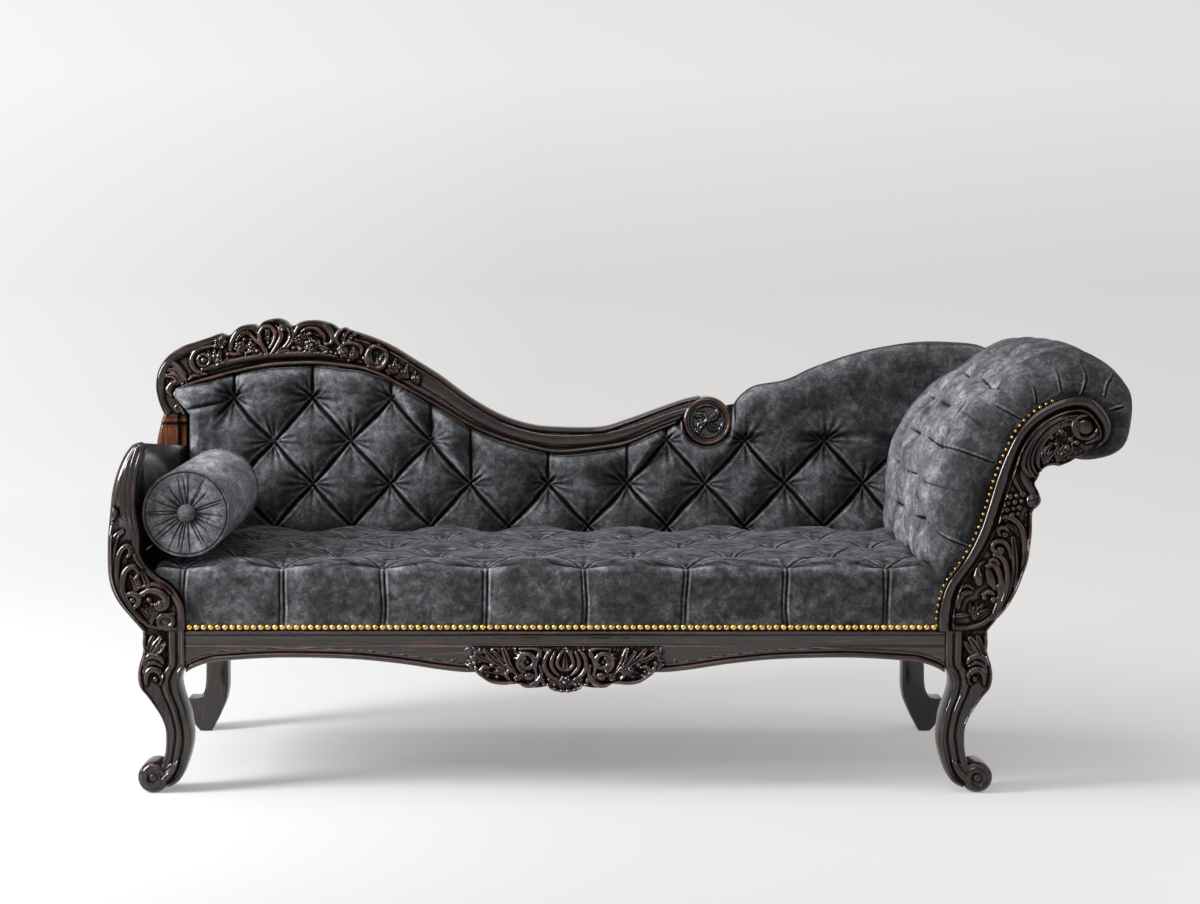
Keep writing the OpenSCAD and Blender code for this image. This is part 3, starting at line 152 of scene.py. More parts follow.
def node_material(name):
    material = bpy.data.materials.new(name)
    material.use_nodes = True
    tree = material.node_tree
    tree.nodes.clear()
    out = tree.nodes.new("ShaderNodeOutputMaterial")
    shader = tree.nodes.new("ShaderNodeBsdfPrincipled")
    tree.links.new(shader.outputs[0], out.inputs[0])
    return material, tree, shader


def add(tree, kind, inputs=None, **settings):
    """A node whose inputs are linked to sockets or set to plain values."""
    node = tree.nodes.new(kind)
    for key, value in settings.items():
        setattr(node, key, value)
    fill_in(tree, node, inputs or {})
    return node


def fill_in(tree, node, inputs):
    for key, value in inputs.items():
        if isinstance(value, bpy.types.NodeSocket):
            tree.links.new(value, node.inputs[key])
        else:
            node.inputs[key].default_value = value


def ramp(tree, factor, stops):
    """A colour ramp; a stop's colour is red, green and blue, or one number for a grey."""
    node = add(tree, "ShaderNodeValToRGB", {0: factor})
    elements = node.color_ramp.elements
    while len(elements) < len(stops):
        elements.new(0.5)
    for element, (at, colour) in zip(elements, stops):
        element.position = at
        element.color = (*(colour if isinstance(colour, tuple) else (colour,) * 3), 1)
    return node.outputs[0]


def mix(tree, factor, a, b, kind="MIX"):
    node = add(tree, "ShaderNodeMix", {0: factor, 6: a, 7: b}, data_type="RGBA", blend_type=kind)
    return node.outputs[2]


def calculate(tree, operation, *values):
    return add(tree, "ShaderNodeMath", dict(enumerate(values)), operation=operation).outputs[0]


def span(tree, value, low, high, to_low=0.0, to_high=1.0):
    """value carried from low...high to to_low...to_high and held at the ends."""
    return add(tree, "ShaderNodeMapRange", {0: value, 1: low, 2: high, 3: to_low, 4: to_high}).outputs[0]


def stretched(tree, scale=(1, 1, 1)):
    place = add(tree, "ShaderNodeTexCoord").outputs["Object"]
    return add(tree, "ShaderNodeMapping", {"Vector": place, "Scale": scale}).outputs[0]


def noise(tree, place, scale, detail, roughness=0.5, output=0):
    inputs = {"Vector": place, "Scale": scale, "Detail": detail, "Roughness": roughness}
    return add(tree, "ShaderNodeTexNoise", inputs).outputs[output]


def bump(tree, height, strength, distance):
    inputs = {"Height": height, "Strength": strength, "Distance": distance}
    return add(tree, "ShaderNodeBump", inputs).outputs[0]


def attribute(tree, name):
    return add(tree, "ShaderNodeAttribute", attribute_name=name).outputs["Fac"]


def velvet(name, light=1.0, streak=(1, 1, 1)):
    """Crushed charcoal velvet: soft mottled patches, a fine nap and a faint sheen at grazing angles.
    light scales its colour: below 1 it paints shade over a copy, above 1 it paints light.
    """
    material, tree, shader = node_material(name)
    place = stretched(tree, streak)
    warp = noise(tree, place, 14.0, 3.0, output="Color")
    shift = add(tree, "ShaderNodeVectorMath", {0: warp, 1: (0.05,) * 3}, operation="MULTIPLY").outputs[0]
    bent = add(tree, "ShaderNodeVectorMath", {0: place, 1: shift}, operation="ADD").outputs[0]
    patches = noise(tree, bent, 24.0, 8.0, 0.68)
    crush = noise(tree, bent, 120.0, 6.0, 0.75)
    nap = noise(tree, place, 330.0, 2.0, 0.6)
    level = calculate(tree, "MULTIPLY_ADD", crush, 0.75, patches)
    level = span(tree, calculate(tree, "MULTIPLY_ADD", nap, 0.25, level), 0.74, 1.26)
    stops = ((0.15, (0.026, 0.026, 0.0275)), (0.45, (0.046, 0.046, 0.0485)),
             (0.62, (0.070, 0.0705, 0.0740)), (0.88, (0.120, 0.121, 0.126)))
    tone = ramp(tree, level, [(at, tuple(light * c for c in colour)) for at, colour in stops])
    # painted shade darkens the creases and painted highlights lighten the ridges, from the fold attribute
    shade = ramp(tree, attribute(tree, "fold"),
                 [(0.0, 0.10), (0.35, 0.55), (0.5, 1.0), (0.75, 1.9), (1.0, 2.6)])
    fill_in(tree, shader, {
        "Base Color": mix(tree, 1.0, tone, shade, "MULTIPLY"),
        "Roughness": 0.9,
        "Specular IOR Level": 0.08,
        "Sheen Weight": 0.16,
        "Sheen Roughness": 0.32,
        "Sheen Tint": (0.75, 0.77, 0.82, 1),
        "Normal": bump(tree, noise(tree, place, 260.0, 3.0), 0.25, 0.0014),
    })
    return material


BLACK_BROWN = ((0.0040, 0.0030, 0.0030), (0.0120, 0.0062, 0.0048), (0.060, 0.0215, 0.0120))
STREAKED = ((0.0050, 0.0032, 0.0030), (0.0180, 0.0085, 0.0060), (0.110, 0.036, 0.0165))
RED_BROWN = ((0.036, 0.0088, 0.0026), (0.085, 0.023, 0.0060), (0.180, 0.056, 0.0140))
WORN = ((0.040, 0.0135, 0.0075), (0.098, 0.034, 0.017), (0.17, 0.064, 0.030))
UPRIGHT = (40.0, 40.0, 3.0)     # grain that runs up and down


def lacquer(name, grain=(3.0, 40.0, 40.0), rub=True, coat=1.0, tone=BLACK_BROWN):
    """Ebonised wood under gloss lacquer, rubbed to red-brown where the carving stands out."""
    material, tree, shader = node_material(name)
    place = add(tree, "ShaderNodeTexCoord").outputs["Object"]
    lines = noise(tree, stretched(tree, grain), 5.0, 6.0, 0.6)
    colour, gloss = ramp(tree, lines, list(zip((0.40, 0.56, 0.72), tone))), 1.0
    if rub:
        worn = ramp(tree, lines, list(zip((0.35, 0.60, 0.78), WORN)))
        soft = ramp(tree, noise(tree, place, 45.0, 3.0), [(0.30, 0.45), (0.62, 1.0)])
        colour = mix(tree, calculate(tree, "MULTIPLY", attribute(tree, "rub"), soft), colour, worn)
        # painted shade darkens the hollows, and their gloss is turned down there
        hollow = attribute(tree, "fold")
        gloss = span(tree, hollow, 0.10, 0.47, 0.02, coat)
        colour = mix(tree, 1.0, colour, ramp(tree, hollow, [(0.1, 0.15), (0.45, 1.0)]), "MULTIPLY")
    fill_in(tree, shader, {
        "Base Color": colour,
        "Roughness": 0.35,
        "Specular IOR Level": 0.12,
        "Coat Weight": gloss,
        "Coat Roughness": 0.09,
        "Coat IOR": 1.65,
        "Normal": bump(tree, lines, 0.12, 0.0008),
        "Coat Normal": bump(tree, noise(tree, place, 60.0, 2.0), 0.06, 0.001),
    })
    return material


def brass(name, colour, dark):
    """Domed brass nails, tarnished in the hollows between them."""
    material, tree, shader = node_material(name)
    spots = noise(tree, add(tree, "ShaderNodeTexCoord").outputs["Object"], 130.0, 3.0)
    fill_in(tree, shader, {
        "Base Color": ramp(tree, spots, [(0.30, dark), (0.55, colour)]),
        "Metallic": 1.0,
        "Roughness": span(tree, spots, 0.3, 0.7, 0.34, 0.2),
    })
    return material


def plain(name, low, high, scale, stretch=(1, 1, 1), roughness=0.8, bump_mm=0.4, metallic=0.0):
    """Inner pieces: sawn wood, woven jute, black cloth and spring wire."""
    material, tree, shader = node_material(name)
    grain = noise(tree, stretched(tree, stretch), scale, 6.0, 0.6)
    fill_in(tree, shader, {
        "Base Color": ramp(tree, grain, [(0.35, low), (0.65, high)]),
        "Roughness": roughness,
        "Metallic": metallic,
        "Normal": bump(tree, grain, 0.4, bump_mm / 1000),
    })
    return material


VELVET = velvet("crushed_velvet")
# painted shade: the back's velvet copy is darker all over; painted light: the bolster's is lighter all over
VELVET_BACK_SHADED = velvet("back_velvet_painted_shade", light=0.74)
VELVET_BOLSTER_LIT = velvet("bolster_velvet_painted_light", light=1.48, streak=(1.6, 0.5, 1.6))
WOOD = lacquer("ebonised_wood")
WOOD_RAIL = lacquer("rail_wood", grain=(1.6, 46.0, 46.0), tone=STREAKED)
WOOD_UPRIGHT = lacquer("ebonised_wood_upright", grain=UPRIGHT, coat=0.75)
WOOD_WARM = lacquer("rubbed_wood", grain=UPRIGHT, coat=0.5, tone=RED_BROWN)
PANEL_WOOD = lacquer("outside_panel_wood", rub=False)
BRASS = brass("nail_brass", (0.95, 0.62, 0.16), (0.45, 0.24, 0.05))
BRASS_DULL = brass("small_nail_brass", (0.55, 0.33, 0.10), (0.20, 0.11, 0.03))
SAWN = plain("frame_wood", (0.060, 0.036, 0.020), (0.120, 0.078, 0.045), 14.0, (1, 8, 8))
JUTE = plain("jute_cloth", (0.30, 0.23, 0.13), (0.52, 0.42, 0.27), 180.0, bump_mm=0.8)
BLACK = plain("black_cloth", (0.010, 0.010, 0.011), (0.026, 0.026, 0.028), 220.0)
STEEL = plain("spring_wire", (0.22, 0.22, 0.23), (0.42, 0.42, 0.44), 60.0, roughness=0.4, metallic=1.0)

for material, plain_nodes in (
    (PANEL_WOOD, ("rear_rail", "left_end_rail", "right_end_rail", "rear_right_post", "wing_rail",
                  "headrest_outside")),
    (SAWN, ("corner_blocks", "back_mid_posts", "stay_rail", "headrest_slats")),
    (STEEL, ("seat_springs", "spring_clips")),
    (JUTE, ("seat_deck_cloth", "back_webbing")),
    (BLACK, ("dust_cover", "outside_back")),
):
    for node in plain_nodes:
        nodes[node].data.materials.clear()
        nodes[node].data.materials.append(material)


# Meshes

def quads(rows, columns, closed=False):
    """Faces of a grid of points that runs row by row; closed joins each row's ends."""
    k = np.arange(columns if closed else columns - 1)
    i = np.arange(rows - 1)[:, None]
    a = i * columns + k
    b = i * columns + (k + 1) % columns
    return np.stack([a, b, b + columns, a + columns], -1).reshape(-1, 4)


def mesh_piece(name, points, faces, material, slot, body="couch", rub=None, fold=None, replaces=(),
               sharp=None, fill=None):
    """A piece of the couch. rub is its red-brown wear; fold is painted shade, 0 in hollows,
    0.5 on even parts, and painted highlight, 1 on ridges."""
    mesh = bpy.data.meshes.new(name)
    mesh.from_pydata(((np.asarray(points) - DRAWN_MIDDLE) / 1000).tolist(), [], [list(f) for f in faces])
    for key, values, even_level in (("rub", rub, 0.0), ("fold", fold, 0.5)):
        values = np.full(len(mesh.vertices), even_level) if values is None else values
        values = np.broadcast_to(np.asarray(values, np.float32), (len(mesh.vertices),))
        mesh.attributes.new(key, "FLOAT", "POINT").data.foreach_set("value", values.astype(np.float32))
    work = bmesh.new()
    work.from_mesh(mesh)
    bmesh.ops.remove_doubles(work, verts=work.verts, dist=2e-6)
    bmesh.ops.recalc_face_normals(work, faces=work.faces)
    work.to_mesh(mesh)
    work.free()
    mesh.shade_smooth()
    if sharp:
        mesh.set_sharp_from_angle(angle=math.radians(sharp))
    mesh.materials.append(material)
    piece = bpy.data.objects.new(name, mesh)
    bpy.context.scene.collection.objects.link(piece)
    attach(piece, body)
    if replaces:
        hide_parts(*replaces)
    return piece


def piled(name, piles, material, slot, **extra):
    """One piece of one or more closed solids, each a pile of rings of points with flat ends."""
    n, m = piles[0].shape[:2]
    one = quads(n, m, closed=True).tolist() + [list(range(m))[::-1], list(range((n - 1) * m, n * m))]
    faces = [[i + k * n * m for i in face] for k in range(len(piles)) for face in one]
    points = np.concatenate([pile.reshape(-1, 3) for pile in piles])
    return mesh_piece(name, points, faces, material, slot, **extra)


def loft(name, rings, material, slot, **extra):
    return piled(name, [np.asarray(rings)], material, slot, **extra)


def beside_cells(h):
    """A grid of heights moved by one cell in each of the four directions."""
    return [np.roll(h, by, axis) for axis in (0, 1) for by in (1, -1)]


def relief_of(h, reach=3, gain=0.16):
    """0 in a narrow hollow, 0.5 on an even surface and 1 on a narrow ridge of a grid of heights."""
    soft = h.copy()
    for _ in range(reach * reach):
        soft = sum(beside_cells(soft)) / 4
    edge = slice(reach, -reach)
    out = np.full(h.shape, 0.5)
    out[edge, edge] = np.clip(0.5 + gain * (h - soft)[edge, edge], 0, 1)
    return out


def sunk(h, reach=4):
    """How far each point lies under the highest of its surroundings."""
    top = h.copy()
    for _ in range(reach):
        top = np.maximum.reduce([top, *beside_cells(top)])
    for _ in range(4):
        top = sum(beside_cells(top)) / 4
    return top - h


# Wood carving

def stroke(points, widths, height, kind="round"):
    """One raised form of the carving along a curve: its half width runs through widths."""
    return form(smooth(points, 5) if len(points) > 2 else even(points, 3), widths, height, kind)


def form(p, widths, height, kind):
    w = np.interp(np.linspace(0, 1, len(p)), np.linspace(0, 1, len(widths)), widths)
    return {"p": p, "w": w, "h": height, "kind": kind}


def spiral(centre, r0, r1, start, turns, widths, height, kind):
    t = np.linspace(0, 1, max(8, int(18 * abs(turns))))
    a = np.radians(start + 360 * turns * t)
    r = r0 + (r1 - r0) * t
    return form(np.stack([centre[0] + r * np.cos(a), centre[1] + r * np.sin(a)], 1), widths, height, kind)


def knob(centre, r, height):
    c = np.array(centre, float)
    return form(np.array([c, c + [0.01, 0]]), (r, r), height, "round")


def ring(centre, rx, rz, width, height):
    a = np.radians(np.arange(0, 361, 15))
    p = np.stack([centre[0] + rx * np.cos(a), centre[1] + rz * np.sin(a)], 1)
    return form(p, (width, width), height, "round")


def fan(base, tips, width, height, bend=0.12):
    """Leaves that spread from one base."""
    out = []
    for tip in tips:
        b, t = np.array(base, float), np.array(tip, float)
        side = np.array([b[1] - t[1], t[0] - b[0]])
        middle = b + 0.6 * (t - b) + bend * side
        out.append(stroke([b, middle, t], (0.4 * width, width, 0.35 * width), height, "leaf"))
    return out


def flower(centre, r, count, width, height, turn=0.0):
    """Petals round a bud."""
    a = np.radians(turn + 360 / count * np.arange(count))
    tips = [(centre[0] + r * math.cos(t), centre[1] + r * math.sin(t)) for t in a]
    return fan(centre, tips, width, height, 0.0) + [knob(centre, 0.32 * r, height + 3)]


# A form is drawn with its half width at each point and is carved a little wider
WIDER, GROWTH = 0.9, 1.12
PROFILES = {
    "round": lambda r: np.sqrt(np.maximum(0, 1 - r ** 2)),
    "leaf": lambda r: np.sqrt(np.maximum(0, 1 - r ** 2)) * (1 - 0.42 * np.exp(-(r / 0.16) ** 2)),
}


def relief(x, z, strokes):
    """Height of the carving over its ground at each point, the highest stroke winning."""
    h = np.zeros(x.shape)
    for s in strokes:
        reach = WIDER + GROWTH * s["w"].max()
        low, high = s["p"].min(0) - reach, s["p"].max(0) + reach
        near = (x > low[0]) & (x < high[0]) & (z > low[1]) & (z < high[1])
        if not near.any():
            continue
        px, pz = x[near], z[near]
        best = np.full(px.shape, 9.0)
        side, share = np.zeros(px.shape), np.zeros(px.shape)
        total = len(s["p"]) - 1
        for i in range(total):
            a, d = s["p"][i], s["p"][i + 1] - s["p"][i]
            t = np.clip(((px - a[0]) * d[0] + (pz - a[1]) * d[1]) / max(d @ d, 1e-9), 0, 1)
            gx, gz = px - a[0] - t * d[0], pz - a[1] - t * d[1]
            width = WIDER + GROWTH * (s["w"][i] + (s["w"][i + 1] - s["w"][i]) * t)
            r = np.hypot(gx, gz) / np.maximum(width, 0.3)
            closer = r < best
            best = np.where(closer, r, best)
            share = np.where(closer, (i + t) / total, share)
            side = np.where(closer, np.sign(gz * d[0] - gx * d[1]), side)
        width_share = np.interp(share, np.linspace(0, 1, len(s["w"])), s["w"]) / s["w"].max()
        rise = s["h"] * (0.55 + 0.45 * width_share) * PROFILES[s["kind"]](np.minimum(best, 1) * side)
        h[near] = np.maximum(h[near], np.where(best < 1, rise, 0))
    return h


def veins(x, z, size, seed):
    """Small winding ridges that fill the ground between the carved forms, from 0 to 1."""
    near = np.abs(value_noise(x + 3 * value_noise(x, z, size, seed + 1), z, size, seed))
    return np.sqrt(np.clip(1 - near / 0.32, 0, 1))


def mirrored(strokes):
    return [{**s, "p": s["p"] * [-1, 1]} for s in strokes]


def bead(d, at, r, h):
    """Height of a round moulding of half width r that runs along an edge, at distance at from it."""
    return h * np.sqrt(np.clip(1 - ((d - at) / r) ** 2, 0, 1))


def edge_drop(d, r):
    """How far a rounded edge of radius r lies below the face, at distance d from the edge."""
    t = np.clip(1 - d / r, 0, 1)
    return r * (1 - np.sqrt(1 - t * t))


def ribbon(name, a, b, across, y_face, y_back, rise, material, slot="ebonised_wood", rub_gain=1.0, **extra):
    """A carved board between two edge curves. rise gives the front's height at x, z and the
    distances to a and b."""
    width = np.linalg.norm(b - a, axis=1)[:, None]
    # the cells beside either edge keep one width, so that the mouldings there run along them
    margin = np.minimum(30.0, 0.3 * width)
    at = np.linspace(0, 1, across + 1)[None, :]
    d = np.where(at < 0.3, margin * at / 0.3, np.where(at > 0.7, width - margin * (1 - at) / 0.3,
                                                       margin + (width - 2 * margin) * (at - 0.3) / 0.4))
    v = d / width
    p = a[:, None, :] + (b - a)[:, None, :] * v[..., None]
    x, z = p[..., 0], p[..., 1]
    h = rise(x, z, d, width - d)
    front = np.stack([x, y_face - h, z], -1)
    back_b = np.stack([b[:, 0], np.full(len(b), y_back), b[:, 1]], -1)[:, None]
    back_a = np.stack([a[:, 0], np.full(len(a), y_back), a[:, 1]], -1)[:, None]
    rings = np.concatenate([front, back_b, back_a], 1)
    # ridges that stand above their surroundings are rubbed, and painted shade darkens the hollows
    patch = 0.3 + 0.7 * step(0.5 + 1.3 * value_noise(x, z, 24, 2))
    ridge = np.maximum(np.clip(relief_of(h, 2, 0.45 * rub_gain) * 2 - 1, 0, 1) * patch,
                       np.clip(relief_of(h, 5, 0.10 * rub_gain) * 2 - 1, 0, 1) * 0.7 * patch)
    rub = np.concatenate([ridge, np.zeros((len(a), 2))], 1).ravel()
    hollow = np.clip(relief_of(h, 4, 0.09) - 0.075 * np.maximum(sunk(h) - 1.5, 0), 0, 1)
    fold = np.concatenate([hollow, np.full((len(a), 2), 0.5)], 1).ravel()
    return loft(name, rings, material, slot, rub=rub, fold=fold, sharp=48, **extra)


# Front legs

LEG_OUTER = [
    (80, 303), (80, 282), (80, 262), (86.5, 240), (90, 218.3), (86, 197), (74, 182), (59.6, 162),
    (46.8, 141.6), (39.2, 120), (38, 99), (39.2, 77.6), (44.8, 56), (52, 40)]
LEG_INNER = [
    (0, 303), (0, 273), (0, 239.5), (8, 225), (13.2, 206), (8.4, 180), (-2.4, 148), (-6.8, 124),
    (-8.8, 103), (-7.6, 82), (0, 52), (10, 27), (21, 16), (34, 10)]
FOOT_AT = (61.0, 29.0)
FOOT_R = 29.0


def leg_carving():
    """Leaves over a C scroll on the knee, drawn outwards from the block's inner face."""
    return [
        stroke([(70, 264), (76, 279), (74, 292)], (3, 5, 3), 6, "leaf"),
        stroke([(68, 262), (66, 278), (60, 292)], (3, 6, 4), 8, "leaf"),
        stroke([(66, 260), (56, 276), (46, 290)], (3, 7, 4.5), 10, "leaf"),
        stroke([(62, 258), (48, 267), (38, 281)], (3, 6, 3.5), 8, "leaf"),
        stroke([(78, 240), (72, 252), (60, 257), (47, 252), (41, 243)], (2, 5, 6, 5, 2), 9),
        stroke([(78, 226), (71, 240), (58, 245), (45, 238)], (2, 4, 4.5, 2), 8),
        stroke([(73, 204), (72, 222), (62, 232), (49, 227), (43, 214), (48, 204)], (2, 5, 6, 5.5, 4, 2), 9),
        knob((55, 214), 5, 8),
    ]


def ankle_carving():
    """Three short flutes above the foot's scroll."""
    return [stroke([(14 + 7 * k, 60 - 3 * k), (22 + 7 * k, 44 - 3 * k), (33 + 6 * k, 27 - k)],
                   (1.5, 3.2, 1.5), 5) for k in range(3)]


def front_leg(side, name):
    n = 190
    outer, inner = even(smooth(LEG_OUTER), n), even(smooth(LEG_INNER), n)
    knee_strokes, ankle = leg_carving(), ankle_carving()
    groove_from, bead_r = 25.0, 6.0

    def rise(x, z, d_outer, d_inner):
        width = d_outer + d_inner
        h = -edge_drop(d_outer, 9) - edge_drop(d_inner, 6)
        h = h + bead(d_outer, 4.5, 3.5, 2.2) + bead(d_inner, 4.5, 3.5, 2.2)
        # the S moulding that follows the inner side between two grooves
        at = np.minimum(groove_from, 0.45 * width)
        h = h + bead(d_inner, at, bead_r, 3.4)
        h = h - bead(d_inner, at + 9, 2.6, 2.6) - bead(d_inner, at - 9, 2.4, 2.2)
        knee = step((z - 130) / 70)
        panel = (d_outer > 7) & (d_inner > at + 10)
        h = h - 3.0 * knee * panel
        h = h + relief(x, z, knee_strokes) * (d_inner > at + 4)
        return h + relief(x, z, ankle) * step((d_inner - 4) / 3)

    def place(p):
        return np.stack([side * (HALF + p[:, 0]), p[:, 1]], 1)

    ribbon(name, place(outer), place(inner), 56, LEG_FRONT, LEG_FRONT + 64,
           lambda x, z, da, db: rise(side * x - HALF, z, da, db), WOOD_UPRIGHT, rub_gain=0.7,
           replaces=["front_left_leg" if side < 0 else "front_right_leg"])
    # the foot's scroll is a drum with a spiral on its face
    rings = []
    a = np.radians(np.arange(0, 360, 6))
    for r in np.linspace(1.0, 0.02, 26):
        phase = (a / (2 * np.pi) * side + 0.1) % 1
        turn = (r * 1.9 - phase) % 1
        h = 3.0 * np.sin(np.pi * turn) ** 0.8 * step(r / 0.35)
        h = h - edge_drop(np.full(a.shape, (1 - r) * FOOT_R), 10)
        h = h + 5 * np.sqrt(np.clip(1 - (r / 0.24) ** 2, 0, 1)) - 1.5 * np.exp(-((r - 0.30) / 0.06) ** 2)
        rings.append(np.stack([side * (HALF + FOOT_AT[0]) + r * FOOT_R * np.cos(a), LEG_FRONT - 1 - h,
                               FOOT_AT[1] + r * FOOT_R * np.sin(a)], 1))
    back = rings[0].copy()
    back[:, 1] = LEG_FRONT + 60
    # the drum's face is a little darker all over, and painted shade darkens the groove round the eye
    loft(name + "_scroll", [back] + rings, WOOD_UPRIGHT, "ebonised_wood", sharp=60,
         rub=np.repeat([0] + [0.45 * (k in (4, 5, 14)) for k in range(26)], 60),
         fold=np.repeat([0.5] + [0.2 if 16 < k < 20 else 0.42 for k in range(26)], 60))


REAR_OUTER = [
    (80, 303), (80, 262), (74, 228), (52, 208), (45, 180), (45, 135), (47, 92), (56, 72), (68, 68),
    (84, 66), (79, 40), (70, 14), (58, 0)]
REAR_INNER = [
    (0, 303), (0, 262), (0, 220), (0, 190), (0, 150), (0, 120), (0, 92), (2, 76), (5, 62), (11, 47),
    (20, 27), (28, 12), (34, 0)]


def rear_leg(side, name):
    outer, inner = even(smooth(REAR_OUTER), 80), even(smooth(REAR_INNER), 80)
    place = lambda p: np.stack([side * (HALF + p[:, 0]), p[:, 1]], 1)
    ribbon(name, place(outer), place(inner), 24, BACK_END - 52, BACK_END,
           lambda x, z, da, db: -edge_drop(da, 5) - edge_drop(db, 5), WOOD_UPRIGHT, rub_gain=0.4,
           replaces=["rear_left_leg" if side < 0 else "rear_right_leg"])


for side, word in ((-1, "left"), (1, "right")):
    front_leg(side, f"{word}_cabriole_leg")
    rear_leg(side, f"{word}_rear_leg_wood")


# Front rail

APRON = [
    (0, 223), (140, 226), (182, 225), (232, 230), (306, 241), (400, 250), (530, 252.5), (633, 247),
    (662, 243.5), (690, 234), (706, 225)]


def apron_z(x):
    return np.interp(np.abs(x), *smooth(APRON).T)


def front_rail():
    n = 420
    x = np.linspace(-HALF, HALF, n + 1)
    top = np.stack([x, np.full(n + 1, LEG_H)], 1)
    bottom = np.stack([x, apron_z(x)], 1)

    def rise(px, pz, d_top, d_bottom):
        h = -2.0 * step((d_top - 6) / 2) - 1.5 * step((d_top - 12) / 3)
        h = h + bead(d_top, 3.4, 3.2, 2.6) + 2.4 * step((d_top - 27) / 4)
        h = h - 2.4 * step((20 - d_bottom) / 3) + bead(d_bottom, 5, 5, 5.0) + bead(d_bottom, 15, 3.5, 3.2)
        return h

    ribbon("front_rail_wood", top, bottom, 56, 0, 30, rise, WOOD_RAIL, replaces=["front_rail"], rub_gain=1.3)


front_rail()


# Carved cartouche in the middle of the rail

CARTOUCHE = [
    (0, 188.6), (14, 190), (27, 194), (33, 201), (44, 198), (60, 197), (76, 199), (88, 206), (104, 203.5),
    (124, 204), (140, 208), (154, 217), (170, 228), (186, 238), (213, 241)]


def cartouche():
    n = 290
    half_edge = smooth(CARTOUCHE)
    edge = np.concatenate([half_edge[::-1] * [-1, 1], half_edge[1:]])
    x = np.linspace(-212, 212, n + 1)
    bottom = np.stack([x, np.interp(x, edge[:, 0], edge[:, 1])], 1)
    top_z = 275 - 24 * step((np.abs(x) - 176) / 36)
    top = np.stack([x, top_z], 1)
    half = [
        # fluted shell with an oval boss
        stroke([(18, 214), (32, 224), (39, 240), (36, 256), (27, 268)], (3, 4.5, 4.5, 4, 2.5), 10),
        stroke([(12, 222), (22, 232), (26, 246), (20, 264)], (2.5, 4, 4.5, 2.5), 9),
        stroke([(0, 231), (9, 234), (15, 243), (12, 256), (5, 266)], (3, 3.5, 3.5, 3.5, 2), 9),
        stroke([(0, 256), (0, 240)], (3, 6), 10, "leaf"),
        stroke([(46, 268), (52, 252), (56, 236), (52, 222)], (3, 4, 4, 2.5), 10),
        # flower under the shell
        *flower((0, 208), 14, 7, 4.5, 10, 12), *flower((20, 204), 11, 5, 4, 9, 40),
        knob((6, 194), 5, 10), knob((18, 196), 4.5, 9), knob((30, 204), 4, 8), knob((30, 214), 3.5, 8),
        stroke([(36, 200), (42, 212), (44, 226)], (2.5, 4, 2), 8),
        # inner scroll: a ring round an eye, a ball under it
        spiral((71, 247), 19, 8, -70, 1.35, (4.5, 5, 4.5), 11, "round"),
        knob((70, 246), 4.5, 8),
        stroke([(46, 258), (48, 268), (62, 273), (84, 271)], (3, 4, 4, 2.5), 10),
        *fan((80, 250), [(92, 262), (84, 268), (96, 252)], 4, 9),
        stroke([(98, 208), (82, 203), (64, 204), (50, 212), (44, 226), (47, 240)],
               (3, 4.5, 5, 5, 4, 2.5), 11),
        knob((67, 219), 9, 10), *fan((84, 214), [(92, 226), (80, 228), (96, 216)], 4, 9),
        stroke([(58, 236), (54, 224), (56, 214)], (2, 3.5, 2), 8),
        # sheaf of leaves between the scrolls
        stroke([(115, 272), (110, 258), (104, 242), (92, 227)], (4, 6, 5.5, 2.5), 11, "leaf"),
        stroke([(131, 264), (118, 250), (104, 236), (92, 224)], (3, 5, 4.5, 2), 9, "leaf"),
        stroke([(150, 269), (139, 256), (124, 244), (108, 234)], (3, 5.5, 5, 2), 9, "leaf"),
        stroke([(166, 262), (156, 254), (142, 248), (126, 242)], (3, 5, 4, 2), 8, "leaf"),
        stroke([(104, 214), (110, 222), (104, 230), (96, 228)], (2.5, 4, 4, 2), 9),
        # outer scroll with a hooked eye
        stroke([(100, 210), (116, 208), (136, 211), (154, 220), (166, 236)], (3, 4.5, 5, 4.5, 3), 10),
        stroke([(142, 222), (150, 220), (157, 227), (152, 237), (141, 236)], (2.5, 4, 4, 4, 2), 10),
        knob((149, 228), 3.5, 8),
        *fan((112, 222), [(134, 226), (130, 236), (120, 238)], 4.5, 9),
        knob((168, 244), 4, 9), knob((126, 218), 3.5, 7), knob((136, 240), 4, 8),
        # small leaf further along the rail
        *fan((211, 233), [(215, 254), (207, 254), (199, 246)], 4, 6),
        stroke([(172, 240), (184, 236), (194, 231)], (5, 5, 2), 4),
    ]
    strokes = half + mirrored(half)

    def rise(px, pz, d_top, d_bottom):
        far = step((np.abs(px) - 168) / 30)
        ground = 4.5 * veins(px, pz, 11, 51) * (1 - far) * step((d_bottom - 8) / 4)
        forms = np.maximum(relief(px, pz, strokes), ground)
        h = (2.0 - 9.0 * far) + forms * (1 - 0.1 * far)
        h = h + bead(d_bottom, 4, 4, 3.5) * (1 - far)
        return h - edge_drop(d_bottom, 4) - edge_drop(d_top, 5)

    ribbon("apron_cartouche", top, bottom, 64, -3.0, 14, rise, WOOD, replaces=["apron_carving"])


cartouche()


# Left arm

ARM_OUTER = [
    (793, 653), (806.3, 647), (823.7, 620.5), (838.6, 578.3), (846, 528.6), (849.8, 454), (847.4, 399),
    (833.8, 362), (808.7, 329.7), (786.4, 304)]
ARM_INNER = [
    (789, 653), (780, 640), (791.5, 595.7), (796.7, 538.5), (789.2, 483.9), (786.4, 441.5), (759.5, 409.2),
    (729.2, 386.9), (709.4, 354.6), (704.4, 324.9), (706, 304)]


